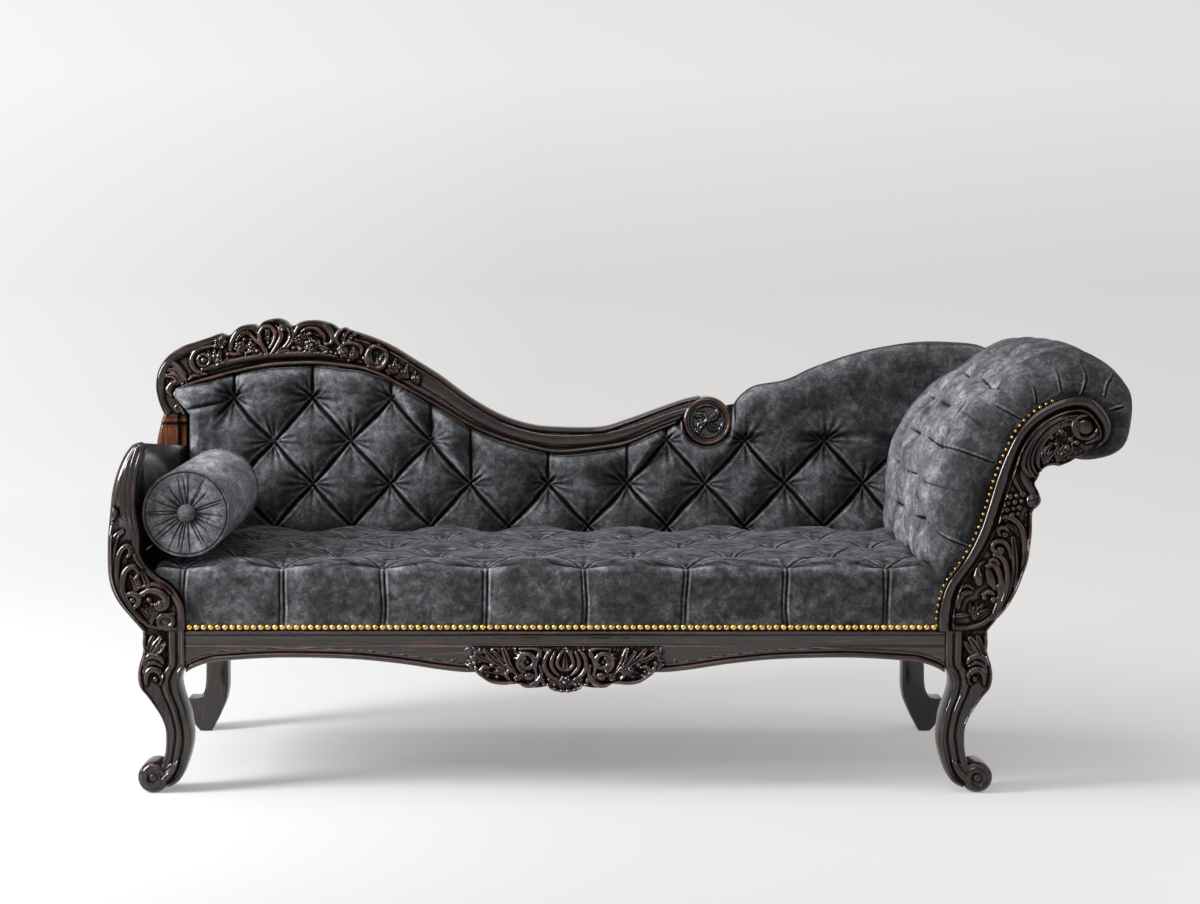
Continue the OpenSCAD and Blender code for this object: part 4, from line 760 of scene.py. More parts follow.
def arm_strokes():
    return [
        # blades that climb the arm, one inside the other
        stroke([(842, 505), (846, 520), (840, 531), (833, 525), (836, 513)], (2, 3.5, 4, 3, 2), 8),
        stroke([(820, 489), (832, 480), (839, 456), (841, 426), (836, 392), (824, 362), (806, 338)],
               (3, 6, 7, 7, 6, 5, 2), 9, "leaf"),
        stroke([(812, 441), (806, 451), (811, 462), (822, 456), (830, 438), (832, 411), (828, 381),
                (815, 353), (797, 330)],
               (3, 4.5, 5, 5.5, 6, 6, 6, 5, 2), 11),
        stroke([(797, 402), (791, 413), (801, 424), (814, 418), (821, 400), (820, 376), (809, 351),
                (792, 330), (772, 315)],
               (3, 4, 5, 5.5, 6, 6, 5.5, 5, 2), 12),
        *fan((798, 378), [(808, 408), (798, 412), (790, 398)], 5, 8),
        stroke([(786, 421), (781, 406), (776, 393), (773, 381)], (2, 5, 6, 3), 10, "leaf"),
        stroke([(798, 446), (792, 432), (784, 424)], (2, 4, 2), 7),
        # hooked scroll
        stroke([(790, 371), (773, 379), (754, 377), (741, 366), (741, 352), (752, 346), (760, 353)],
               (3, 5, 7, 7, 7, 6, 4), 12),
        stroke([(787, 385), (768, 391), (748, 387), (732, 375)], (2, 4, 4, 2), 9),
        knob((751, 356), 6, 13),
        # lobe, bead and small leaves
        stroke([(813, 371), (802, 373), (791, 366), (794, 353), (804, 346)], (4, 6.5, 6, 5, 3), 11),
        knob((803, 361), 6, 10), knob((772, 362), 5, 10), knob((782, 371), 3.5, 9),
        *fan((768, 318), [(787, 347), (778, 352), (768, 355), (759, 349)], 4.5, 9, 0.05),
        stroke([(804, 343), (790, 327), (772, 314), (752, 308)], (3, 5, 4, 2), 8),
        # boss in the smooth field
        ring((742, 322), 14, 12, 4, 7), knob((742, 322), 8, 6),
        stroke([(761, 339), (745, 337), (726, 335)], (2, 3, 1.5), 5),
        stroke([(756, 310), (738, 306), (722, 308)], (2, 3.5, 2), 5),
    ]


def arm_facing():
    n = 270
    outer, inner = even(smooth(ARM_OUTER), n), even(smooth(ARM_INNER), n)
    strokes = arm_strokes()

    def rise(x, z, d_outer, d_inner):
        upper = step((z - 470) / 50)
        h = -edge_drop(d_outer, 7) * (1 - upper) - edge_drop(d_outer, 18) * upper - edge_drop(d_inner, 5)
        h = h + bead(d_outer, 5.5, 4.5, 3.0) * (1 - upper) + bead(d_inner, 4.5, 4.5, 3.0)
        twin = bead(d_inner, 13.5, 4.6, 2.6) + bead(d_inner, 22.5, 4.4, 2.0)
        h = h + upper * step((d_outer - 8) / 4) * twin
        h = h + (1 - upper) * bead(d_inner, 11, 4, 2.5)
        ground = (d_outer > 10) & (d_inner > 14)
        h = h - 5.0 * ground * (1 - upper)
        width = d_outer + d_inner
        middle = (d_outer - 10) / np.maximum(width - 40, 8)
        h = h - 4.0 * upper * np.sin(np.pi * np.clip(middle, 0, 1)) * step((width - 44) / 10)
        return h + relief(-x, z, strokes) * step((np.minimum(d_outer, d_inner) - 5) / 5)

    place = lambda p: p * [-1, 1]
    ribbon("arm_facing_wood", place(outer), place(inner), 92, FACING_FRONT, FACING_END, rise, WOOD_UPRIGHT,
           replaces=["arm_facing", "arm_carving"])


POST_OUTER = [
    (786, 303), (808.7, 329.7), (833.9, 362), (849, 399), (853, 454), (856, 528.6), (853, 600), (845, 640),
    (838, 663)]
POST_INNER = [
    (706, 303), (712, 338), (735, 362), (766, 381), (787, 400), (789, 458), (789, 562), (788, 640),
    (788, 663)]


def rear_left_post():
    n = 110
    outer, inner = even(smooth(POST_OUTER), n), even(smooth(POST_INNER), n)
    place = lambda p: p * [-1, 1]

    def rise(x, z, d_outer, d_inner):
        h = -edge_drop(d_outer, 7) - edge_drop(d_inner, 4) + bead(663 - z, 12, 5, 5)
        return h - bead(663 - z, 20, 2.5, 2) - 6 * step((20 - d_inner) / 3)

    ribbon("rear_left_post_wood", place(outer), place(inner), 30, CREST_FRONT, BACK_END, rise, WOOD_WARM,
           replaces=["rear_left_post"], rub_gain=2.0)


def arm_board():
    """The board behind the facing, which falls towards the rear post."""
    front = smooth(ARM_OUTER)[::-1]
    rear = smooth(POST_OUTER)
    rear = rear[rear[:, 1] < 600.5]
    n, m = 120, 40
    front, rear = even(front, n), even(rear, n)
    t_board = 26.0
    rings = []
    for k in range(m + 1):
        t = k / m
        o = front + (rear - front) * t
        y = FACING_END + 0.3 + (CREST_FRONT - FACING_END - 0.6) * t
        inside = beside(o, t_board)
        # level with the facing's inner edge above the seat
        filled = np.minimum(inside[:, 0], 791) - inside[:, 0]
        inside[:, 0] += filled * step((inside[:, 1] - 405) / 40) * step(t / 0.06)
        # and its top is level from side to side
        top_end = step((np.linspace(0, 1, n + 1) - 0.86) / 0.12)
        inside[:, 1] += (o[:, 1] - 2 - inside[:, 1]) * top_end
        inside[:, 1] = np.maximum(inside[:, 1], LEG_H)
        loop = np.concatenate([o, inside[::-1]])
        rings.append(np.stack([-loop[:, 0], np.full(len(loop), y), loop[:, 1]], 1))
    loft("arm_board_wood", rings, WOOD, "ebonised_wood", sharp=40, replaces=["arm_board"])


arm_facing()
rear_left_post()
arm_board()


# Crest rail

CREST_UPPER = [
    (-837.7, 664), (-847.8, 691.5), (-853.5, 723), (-847.8, 757.6), (-828, 785.4), (-797.8, 805.5),
    (-767.9, 815.5), (-737.8, 825.6), (-719.8, 831.6), (-701.8, 827.7), (-677.8, 846.7), (-651.8, 850.7),
    (-639.9, 845.6), (-627.8, 857.6), (-601.8, 863.2), (-583.9, 857.6), (-569.8, 847.5), (-548.1, 857.1),
    (-518.6, 859.2), (-488.5, 851.7), (-471.4, 841), (-460.7, 844.2), (-445.8, 837.9), (-403.2, 823.9),
    (-360.3, 804.9), (-317.9, 779.1), (-261.4, 743.6), (-198.7, 697.6), (-135.9, 662), (-73.2, 641.1),
    (-10.5, 634.9), (73.2, 635.3), (126.5, 650), (193.2, 674), (246.8, 692.6), (281.3, 700.5)]
CREST_LOWER = [
    (-788.5, 664), (-794.6, 674), (-806, 688), (-812, 700), (-800, 712.5), (-767.9, 725.6), (-727.7, 737.5),
    (-688, 748.6), (-647.8, 756.5), (-607.7, 762.6), (-552.5, 765.3), (-509.8, 765.3), (-467.2, 761),
    (-424.5, 755.7), (-381.8, 740.9), (-349.6, 723.7), (-303.2, 698), (-261.4, 674.6), (-198.7, 636.9),
    (-135.9, 609.8), (-73.2, 591), (-10.5, 580.5), (73.2, 588.9), (126.5, 599.3), (179.8, 623.2),
    (226, 642.5)]
SCROLL_AT = (296.5, 649.0)
SCROLL_R = 51.0


def crest_strokes():
    return [
        # roll along the outer edge, curling over at its end
        stroke([(-829, 668), (-842, 692), (-845, 724), (-838, 755), (-819, 779), (-791, 797), (-762, 808),
                (-736, 818), (-717, 822), (-706, 812)],
               (7, 8, 8.5, 8.5, 9, 9, 8.5, 8, 7, 4), 9),
        *fan((-716, 801), [(-727, 822), (-714, 825), (-703, 815)], 4.5, 13),
        # second roll, which wraps the volute, and the roll under the carving
        stroke([(-734, 806), (-757, 801), (-773, 791), (-779, 775), (-773, 759), (-758, 749), (-748, 747)],
               (3, 4.5, 5, 5, 5, 4, 2), 9),
        ring((-753, 776), 12.5, 12.5, 3.5, 8), knob((-753, 776), 7, 9),
        stroke([(-756, 757), (-730, 763), (-700, 772), (-660, 780), (-620, 786), (-580, 789), (-540, 790),
                (-505, 789), (-476, 783)],
               (4, 5.5, 6, 6, 6, 6, 6, 5, 2), 7),
        # leaf in the corner
        *fan((-798, 727), [(-836, 742), (-832, 757), (-820, 767), (-807, 759)], 6, 9, -0.22),
        stroke([(-840, 742), (-834, 762), (-820, 771), (-804, 762), (-794, 742), (-789, 728)],
               (2, 3.5, 4, 4, 3.5, 2), 9),
        stroke([(-804, 729), (-817, 728), (-827, 715), (-820, 702)], (3, 6, 7, 3), 9),
        knob((-812, 732), 4, 11), knob((-779, 741), 4, 9),
        stroke([(-786, 735), (-772, 744), (-760, 742)], (2, 3.5, 1.5), 8),
        # ring knob at the heel
        ring((-806, 675), 7, 7, 3, 6), knob((-806, 675), 3.5, 5),
        # leaves between the volute and the flower
        *fan((-716, 770), [(-743, 795), (-731, 797), (-718, 796)], 5.5, 10, 0.15),
        stroke([(-724, 767), (-712, 770), (-703, 780)], (3, 4.5, 2), 9),
        knob((-728, 806), 5.5, 12), knob((-703, 789), 4, 8), knob((-724, 776), 4, 10),
        # C scroll over a flower
        stroke([(-697, 798), (-694, 816), (-683, 834), (-666, 844), (-648, 843), (-640, 832)],
               (4, 6, 7, 7, 6, 3), 12),
        stroke([(-685, 817), (-673, 831), (-659, 833), (-650, 824)], (2.5, 4.5, 4.5, 2), 11, "leaf"),
        *flower((-677, 804), 13, 6, 5, 10, 10), *flower((-654, 803), 12, 5, 5, 9, 30),
        stroke([(-656, 832), (-644, 818), (-630, 806), (-623, 794), (-621, 785)], (2.5, 4, 4.5, 4, 3), 11),
        stroke([(-704, 792), (-690, 789), (-676, 790)], (2, 4, 2), 8),
        knob((-664, 791), 4, 8), knob((-641, 796), 4.5, 9), knob((-633, 790), 3.5, 7),
        knob((-668, 820), 4, 9),
        # heart palmette, its cap and the hooked leaf on its right
        stroke([(-621, 789), (-633, 811), (-637, 831), (-628, 845), (-613, 846), (-604, 833), (-608, 815),
                (-617, 801)],
               (3, 4, 4.5, 5, 5, 4.5, 4, 2.5), 12),
        stroke([(-620, 812), (-620, 836)], (3, 6.5), 9, "leaf"),
        stroke([(-640, 840), (-625, 854), (-603, 859), (-586, 852), (-577, 838)], (3, 5, 5.5, 5, 3), 10),
        stroke([(-612, 791), (-601, 807), (-592, 825), (-594, 843), (-586, 848)], (3, 5, 6, 6, 3), 11),
        stroke([(-598, 796), (-582, 805), (-571, 821), (-572, 841), (-584, 850)],
               (3, 6, 7.5, 7, 4), 11, "leaf"),
        knob((-588, 840), 5, 13), knob((-606, 797), 4.5, 9),
        stroke([(-604, 789), (-590, 795), (-576, 797)], (2, 4, 2), 8),
        # great C scroll over two flowers
        stroke([(-563, 830), (-556, 845), (-538, 853), (-515, 853), (-496, 844), (-485, 828), (-487, 813),
                (-497, 810)],
               (3, 6, 6.5, 6.5, 6.5, 6, 5, 3), 12),
        stroke([(-549, 836), (-535, 844), (-517, 842), (-505, 831), (-500, 818)],
               (2.5, 4.5, 5, 4.5, 2), 10),
        *flower((-553, 820), 12, 5, 5, 10, 10), *flower((-527, 808), 15, 7, 5.5, 11),
        *fan((-504, 795), [(-513, 818), (-498, 807), (-489, 798)], 4.5, 9),
        knob((-551, 800), 5.5, 10), knob((-566, 802), 4.5, 8), knob((-541, 795), 4, 8),
        knob((-531, 832), 4.5, 9),
        knob((-497, 793), 4, 9), knob((-487, 793), 4, 8), knob((-512, 791), 4, 8), knob((-566, 816), 4, 9),
        # shell at the end of the hump
        stroke([(-461, 841), (-473, 833), (-478, 819), (-470, 808)], (3, 5.5, 5, 3), 11),
        stroke([(-448, 838), (-459, 829), (-462, 815)], (3, 5, 3), 10, "leaf"),
        stroke([(-436, 832), (-447, 823), (-450, 812)], (3, 4.5, 2), 9, "leaf"),
        # two small flowers under an arch
        stroke([(-473, 799), (-457, 811), (-438, 811), (-424, 802), (-425, 789)], (3, 4.5, 4.5, 4, 2), 10),
        *flower((-461, 793), 11, 6, 4.5, 10), *flower((-440, 788), 11, 6, 4.5, 10, 25),
        knob((-477, 790), 4, 8), knob((-420, 781), 4, 7), knob((-450, 776), 3.5, 6),
        # oval ring
        ring((-393, 782), 21, 23, 5, 11), stroke([(-404, 797), (-407, 780), (-399, 767)], (2, 4, 2), 8),
        *fan((-380, 767), [(-397, 771), (-391, 783), (-381, 788)], 4.5, 9),
        # husks that run out to the right
        *fan((-350, 751), [(-373, 757), (-367, 772), (-353, 778), (-344, 768)], 5, 10),
        *fan((-327, 740), [(-347, 749), (-341, 762), (-329, 764)], 4.5, 9),
        *fan((-306, 727), [(-319, 743), (-312, 752), (-303, 746)], 4, 8),
    ]


def crest_rail():
    a, b = matched(smooth(CREST_UPPER), smooth(CREST_LOWER), [0, 3, 6, 12, 14, 20, 24, 28, 31, 35],
                   [0, 3, 5, 7, 9, 12, 15, 19, 22, 25])
    strokes = crest_strokes()

    def rise(x, z, d_up, d_low):
        carved = step((-312 - x) / 30)
        h = -edge_drop(d_up, 6) - edge_drop(d_low, 5)
        h = h + bead(d_low, 5, 5, 4.5) - bead(d_low, 12, 3, 2.0)
        up_bead = step((x + 450) / 14)
        second = bead(d_up, 15.5, 3.5, 3.0) * (1 - step((x + 300) / 60))
        h = h + up_bead * (bead(d_up, 5, 4.5, 4.0) - bead(d_up, 10.5, 1.8, 2.0) + second)
        h = h - 4.0 * carved * step((d_up - 3) / 2) * step((d_low - 11) / 3)
        h = h + (1 - carved) * bead(d_low - d_up, 0, 26, 3)
        hump = step((x + 705) / 10) * step((-418 - x) / 14) * step((d_low - 32) / 4) * step((d_up - 7) / 3)
        forms = np.maximum(relief(x, z, strokes), 5.0 * veins(x, z, 11, 61) * hump)
        return h + forms * step((d_low - 9) / 4)

    ribbon("crest_rail_wood", a, b, 70, CREST_FRONT, BACK_END, rise, WOOD, rub_gain=1.2,
           replaces=["crest_rail", "crest_carving", "crest_rosette"])
    # the scroll at the low end, with its rosette
    rings = []
    angles = np.radians(np.arange(0, 360, 3))
    radii = np.linspace(0.99, 0.02, 44)
    for r in [1.0, *radii]:
        mm = r * SCROLL_R
        h = -edge_drop(np.full(angles.shape, SCROLL_R - mm), 5) + bead(SCROLL_R - mm, 5, 5, 3.5)
        h = h - 6 * step((43 - mm) / 3) + bead(mm, 33.5, 4, 3)
        x, z = mm * np.cos(angles), mm * np.sin(angles)
        h = h + relief(x, z, ROSETTE)
        rings.append(np.stack([SCROLL_AT[0] + x, CREST_FRONT - 3 - h, SCROLL_AT[1] + z], 1))
    back = rings[0].copy()
    back[:, 1] = BACK_END
    loft("crest_scroll", [back] + rings, WOOD, "ebonised_wood", sharp=60,
         rub=np.repeat([0, 0.5, *(0.6 * (radii > 0.78))], len(angles)))


ROSETTE = [
    *[stroke(petal, (4, 8, 4), 8, "leaf") for petal in (
        ((2, 2), (14, 8), (22, 20)), ((-2, 2), (-12, 12), (-24, 12)), ((-2, -2), (-14, -8), (-18, -22)),
        ((2, -2), (10, -14), (24, -14)))],
    knob((0, 0), 7, 10),
]


crest_rail()


# Headrest wood

NAIL_LINE = [
    (694, 304), (693.4, 327), (697.3, 355), (710, 393), (743, 439), (768, 488), (785, 538), (800, 588),
    (820, 639), (844.5, 683), (879, 715), (924, 735.5), (962, 739), (984, 729), (1004, 704), (1010, 681.5),
    (1000.6, 659), (978, 643), (943, 630)]
HEAD_EDGE = [
    (784.6, 304), (806, 331), (823.6, 355), (838, 382), (846.8, 405), (859, 441), (865.4, 488),
    (866.7, 524), (881, 545), (878, 562), (870.6, 576.5), (878, 596), (890, 608), (904, 612), (917.4, 611),
    (936, 620.5)]


def headrest_strokes():
    return [
        # ridges of the great scroll, which sweep up from the ear to the eye
        stroke([(846, 562), (834, 581), (831, 602), (838, 629), (856, 658), (881, 683), (912, 704),
                (945, 714), (974, 708), (990, 688), (986, 664), (966, 654)],
               (2, 4, 5, 5, 5, 5, 5, 5, 5, 4.5, 4, 2.5), 10),
        stroke([(862, 592), (849, 606), (847, 620), (853, 640), (868, 665), (890, 685), (918, 700),
                (946, 706)],
               (3, 5, 6, 5.5, 5, 4.5, 4, 2.5), 12),
        stroke([(944, 703), (918, 695), (893, 680), (873, 657), (862, 633), (861, 612), (869, 596),
                (882, 584)],
               (2.5, 5, 6, 6.5, 7, 7.5, 7, 4), 12, "leaf"),
        stroke([(940, 692), (911, 682), (889, 662), (878, 640), (875, 619), (881, 603)],
               (2.5, 5, 5.5, 5.5, 5, 2), 9),
        ring((963, 684), 23, 22, 4, 10), knob((963, 684), 15, 9),
        stroke([(846, 604), (852, 588), (862, 572), (867, 558)], (5, 8, 8, 5), 7),
        # leaves that hang under the scroll
        stroke([(924, 691), (932, 700), (943, 697), (947, 687)], (3, 5, 5, 3), 11, "leaf"),
        stroke([(937, 688), (945, 677), (950, 668)], (3, 6, 3), 10, "leaf"),
        *fan((888, 612), [(902, 654), (890, 646), (910, 640)], 6, 11),
        *fan((912, 618), [(928, 650), (940, 640), (914, 648)], 5.5, 9),
        knob((918, 675), 5.5, 10), knob((929, 646), 5.5, 11), knob((909, 652), 4, 9),
        knob((948, 655), 5, 8), knob((900, 664), 4.5, 8),
        # the ear, and the beads beside it
        knob((867, 546), 13, 13),
        *[knob((812 + 12 * i - 3 * j, 552 + 2 * i - 12 * j), 4.6 + (i + j) % 2, 8 + 2 * ((i + 2 * j) % 3))
          for j in range(4) for i in range(4)],
        stroke([(806, 548), (811, 540), (818, 534)], (2, 4, 2), 10),
        # blades that fall from the ear, each with a curled tip
        stroke([(803, 507), (812, 516), (828, 513), (841, 502), (850, 482), (853, 446), (847, 410),
                (835, 376), (816, 345)],
               (3, 4, 5, 5.5, 6, 6.5, 6, 5, 2), 11),
        stroke([(820, 501), (832, 495), (841, 482)], (3, 4.5, 2), 11, "leaf"),
        stroke([(830, 477), (834, 446), (834, 411), (826, 374), (811, 346), (793, 326)],
               (4, 7, 7, 6.5, 6, 2), 10, "leaf"),
        stroke([(806, 482), (802, 492), (812, 497), (822, 490)], (2.5, 4, 4, 2), 10),
        knob((815, 483), 6, 7),
        stroke([(800, 448), (792, 458), (796, 469), (810, 471), (822, 459), (826, 440)],
               (3, 4, 4.5, 4.5, 4, 2), 10),
        knob((807, 454), 8, 9),
        stroke([(795, 446), (807, 442), (817, 428), (821, 404), (817, 374), (806, 345), (790, 324)],
               (3, 4.5, 5.5, 6, 5.5, 5, 2), 11),
        stroke([(783, 425), (795, 427), (805, 413), (810, 390), (805, 361), (794, 337)],
               (4, 5, 5.5, 6, 5, 2), 9),
        stroke([(788, 435), (797, 437), (806, 428)], (3, 4, 2), 9),
        stroke([(784, 416), (790, 400), (797, 382)], (5, 8, 4), 6),
        # bud
        stroke([(765, 420), (765, 406), (768, 394)], (4, 8.5, 6), 12),
        stroke([(766, 424), (772, 431), (778, 434)], (2, 3, 1.5), 8),
        # loop at the foot, with a curled leaf and a fan in it
        stroke([(757, 382), (746, 389), (734, 382), (718, 362), (709, 342), (710, 323), (723, 311),
                (746, 309), (775, 318), (797, 337), (806, 362), (804, 388)],
               (2, 3, 4, 4.5, 4.5, 4.5, 4.5, 4.5, 4.5, 4.5, 4.5, 3), 8),
        stroke([(753, 376), (739, 374), (730, 362), (729, 348)], (3, 6, 6.5, 4), 11),
        *fan((759, 326), [(751, 355), (763, 357), (775, 354), (786, 345)], 4.8, 10, 0.05),
        stroke([(775, 372), (786, 377), (796, 372)], (3, 4.5, 2), 10), knob((795, 362), 6, 9),
        knob((778, 366), 4.5, 8),
        stroke([(719, 331), (735, 333), (750, 334)], (4, 5, 2), 5),
        # edge of the outermost blade
        stroke([(862, 522), (862, 482), (857, 440), (845, 400), (826, 362), (804, 334)],
               (3, 4, 4, 4, 4, 3), 5),
    ]


def headrest_facing():
    a, b = matched(smooth(NAIL_LINE), smooth(HEAD_EDGE), [0, 4, 7, 9, 13, 18], [0, 5, 8, 11, 14, 15])
    strokes = headrest_strokes()

    def rise(x, z, d_line, d_edge):
        h = -edge_drop(d_edge, 5)
        h = h + bead(d_line, 9.5, 9.6, 6.0) - bead(d_line, 22, 2.4, 2.2)
        h = h + bead(d_line, 27.0, 3.0, 2.4) + bead(d_edge, 4, 3.5, 2.0)
        h = h - 5.0 * step((d_line - 27) / 2) * step((d_edge - 5) / 2)
        beads = step((z - 503) / 6) * step((562 - z) / 6) * step((d_edge - 8) / 4)
        nook = step((x - 888) / 10) * step((964 - x) / 12) * step((z - 618) / 8)
        nook = nook * step((688 - z) / 10) * step((d_edge - 10) / 6)
        forms = np.maximum(relief(x, z, strokes), 5.5 * veins(x, z, 11, 71) * np.maximum(beads, nook))
        return h + forms * step((d_line - 22) / 4)

    ribbon("headrest_facing_wood", a, b, 124, FACING_FRONT, FACING_END, rise, WOOD_UPRIGHT,
           replaces=["headrest_facing", "headrest_carving"], rub_gain=1.2)
    ribbon("headrest_rear_wood", a[::3], b[::3], 20, BACK_END - 34, BACK_END - 1,
           lambda x, z, da, db: -edge_drop(da, 3) - edge_drop(db, 3), WOOD_UPRIGHT,
           replaces=["headrest_rear_frame"])


headrest_facing()


# Deep buttoning

def diamond(u, v, crease):
    """0 at a button, up to 1 on a pillow; buttons at whole u and v of one parity."""
    p, q = np.abs(np.sin(np.pi * (u + v / 2))), np.abs(np.sin(np.pi * (u - v / 2)))
    return (1 - crease) * (p * q) ** 0.5 + crease * np.maximum(p, q) ** 0.8


def folds(u, v, pitch, row):
    """Depth of the paired folds along the diagonals between buttons, in mm."""
    spacing = 1 / math.hypot(1 / pitch, 0.5 / row)
    first, second = u + v / 2, u - v / 2
    total = 0
    for s, along in ((first, second), (second, first)):
        d = np.abs(s - np.round(s)) * spacing
        # two folds lie close at the buttons and part between them
        apart = 3.0 + 4.0 * np.abs(np.sin(np.pi * along))
        strong = 1 - 0.5 * np.abs(np.sin(np.pi * along))
        ridge, cut = np.exp(-(d / (0.55 * apart)) ** 2), np.exp(-((d - apart - 1.0) / 1.8) ** 2)
        total = total + strong * (2.0 * ridge - 4.2 * cut)
    return total


def wrinkles(x, z, centres, reach, seed):
    """Small pleats that run out of each button, some longer than others."""
    h = np.zeros(x.shape)
    random = np.random.RandomState(seed)
    for cx, cz in centres:
        phase, count = random.uniform(0, 2 * np.pi), random.randint(13, 18)
        uneven, turn = random.uniform(0, 2 * np.pi), random.randint(2, 5)
        near = (np.abs(x - cx) < 4 * reach) & (np.abs(z - cz) < 4 * reach)
        r = np.hypot(x[near] - cx, z[near] - cz)
        a = np.arctan2(z[near] - cz, x[near] - cx)
        strength = 0.6 + 0.4 * np.sin(turn * a + uneven)
        h[near] += strength * np.cos(count * a + phase) * (r / reach) * np.exp(1 - r / reach) * 1.7
    return h


def dome(at, facing, r, tall, rings, sectors, skirt):
    """Rings of a round dome; skirt is how far its rim is turned in, as a share of r, and how far it
    goes down."""
    turn = np.array(Vector((0, 0, 1)).rotation_difference(Vector(facing)).to_matrix())
    a = np.radians(np.arange(0, 360, 360 // sectors))
    points = []
    for t in np.linspace(0, math.pi / 2, rings):
        rr = r * math.cos(t * 0.98)
        points.append(np.stack([rr * np.cos(a), rr * np.sin(a), np.full(a.shape, tall * r * math.sin(t))], 1))
    rim = points[0] * [skirt[0], skirt[0], 1] - [0, 0, skirt[1] * r]
    return np.array([rim] + points) @ turn.T + np.asarray(at)


def buttons(name, places, r, replaces, material=VELVET, fold=0.32, body="couch"):
    """All the covered buttons of one cushion as one piece, darkened with painted shade through fold."""
    piled(name, [dome(at, normal, r, 0.45, 9, 18, (0.75, 0.3)) for at, normal in places], material, "velvet",
          body=body, replaces=replaces, fold=fold)


# Back

BACK_PITCH, BACK_ROW = 164.0, 90.0
BACK_ORIGIN = (-691.0, 518.0)
BACK_LEFT = -785.0
BACK_LOW = SEAT_TOP - 26
WING_FROM = 352.0               # the wing begins right of the crest's scroll
WING_ROLL = 44.0                # radius of the roll over the wing's rail
WING_TOP = [
    (347.5, 665), (355, 688), (374, 709), (401, 724), (461, 735), (521, 762), (611, 792), (701, 810),
    (761, 815), (821, 813), (856, 809), (876, 802), (900, 788)]
HEAD_FACE = [
    (661, 437), (661, 485), (664, 538), (675, 599), (693, 641), (725, 688), (761, 731), (814, 773),
    (868, 807), (924, 828), (968.6, 816), (1010, 790), (1039, 758), (1052, 726), (1045.5, 665), (1026, 637),
    (994, 620.5), (966, 617.5), (944, 628)]
# Row of the topmost buttons above x, counted from the row just over the seat
TOP_ROW = ([-900, -363, -281, -199, 129, 211, 900], [2, 2, 1, 0, 0, 1, 1])
TOP_COLUMNS = [-855, -691, -527, -363, -281, -199, -35, 129, 211, 375, 539, 1000]


def back_surface(x, z):
    """Front of the back's padding."""
    # the cloth's lines wander a little
    px = x + 3.0 * value_noise(x, z, 60, 31)
    pz = z + 3.0 * value_noise(x, z, 60, 32)
    u, v = (px - BACK_ORIGIN[0]) / BACK_PITCH, (pz - BACK_ORIGIN[1]) / BACK_ROW
    low = diamond(u, v, 0.28)
    top = np.interp(x, *TOP_ROW)
    phase = np.interp(px, TOP_COLUMNS, np.arange(len(TOP_COLUMNS)))
    high = np.abs(np.sin(np.pi * phase)) ** 0.7
    wing = step((x - 300) / 60)
    above = (v - top) * BACK_ROW
    fade = np.exp(-np.maximum(above, 0) / (90 - 65 * wing))
    kept = 0.35 * (1 - wing) + (0.65 + 0.35 * wing) * fade
    high = 1 - (1 - high) * kept * (1 - 0.5 * wing * step(above / 40))
    w = step(above / 26)
    full = low * (1 - w) + high * w
    d = (phase - np.round(phase)) * 150
    pleat = 3.6 * np.exp(-(d / 2.0) ** 2) - 2.6 * np.exp(-((np.abs(d) - 5.2) / 1.8) ** 2)
    pleat = pleat * np.exp(-np.maximum(above, 0) / (60 - 40 * wing)) * (1 - 0.6 * wing)
    uneven = 1 + 0.35 * value_noise(x, z, 70, 35)
    lines = folds(u, v, BACK_PITCH, BACK_ROW) * (1 - w) * (0.45 + 0.45 * step((1 - full) * 1.6)) * uneven
    crease = lines + pleat * w
    depth = 45 * (1 - full) + crease
    # left of the first column the cloth has one level fold and no lattice
    left = step((BACK_ORIGIN[0] - 14 - px) / 30)
    level = pz - BACK_ORIGIN[1] - 2 * BACK_ROW - 0.22 * (px - BACK_ORIGIN[0])
    level = 5 * np.exp(-(level / 7) ** 2) + 3.8 * np.exp(-((level + 1) / 2.0) ** 2)
    depth = depth * (1 - left) + (level + 3) * left
    depth = depth + 1.5 * value_noise(x, z, 34, 3) + 0.6 * value_noise(x, z, 13, 4)
    return BACK_FRONT + 3 + depth


def back_top(x):
    """Height of the padding's upper edge."""
    lower = smooth(CREST_LOWER)[4 * STEPS:]
    crest = np.interp(x, lower[:, 0], lower[:, 1])
    r = SCROLL_R + 2
    under = SCROLL_AT[1] - np.sqrt(np.maximum(0, r * r - (x - SCROLL_AT[0]) ** 2))
    wing = smooth(WING_TOP)
    over = np.interp(x, wing[:, 0], wing[:, 1])
    return np.where(x < 240, crest - 3, np.where(x < SCROLL_AT[0] + r * 0.98, np.minimum(under, 650), over))


def button_places():
    """Places of the back's buttons that show."""
    found = []
    for j in range(3):
        for i in range(-1, 10):
            x = BACK_ORIGIN[0] + BACK_PITCH * (i + (j % 2) / 2)
            z = BACK_ORIGIN[1] + BACK_ROW * j
            under_top = z < float(back_top(np.array([x]))[0]) - 25 and j <= np.interp(x, *TOP_ROW) + 0.1
            if BACK_LEFT + 30 < x < 655 and under_top:
                found.append((x, z))
    return found


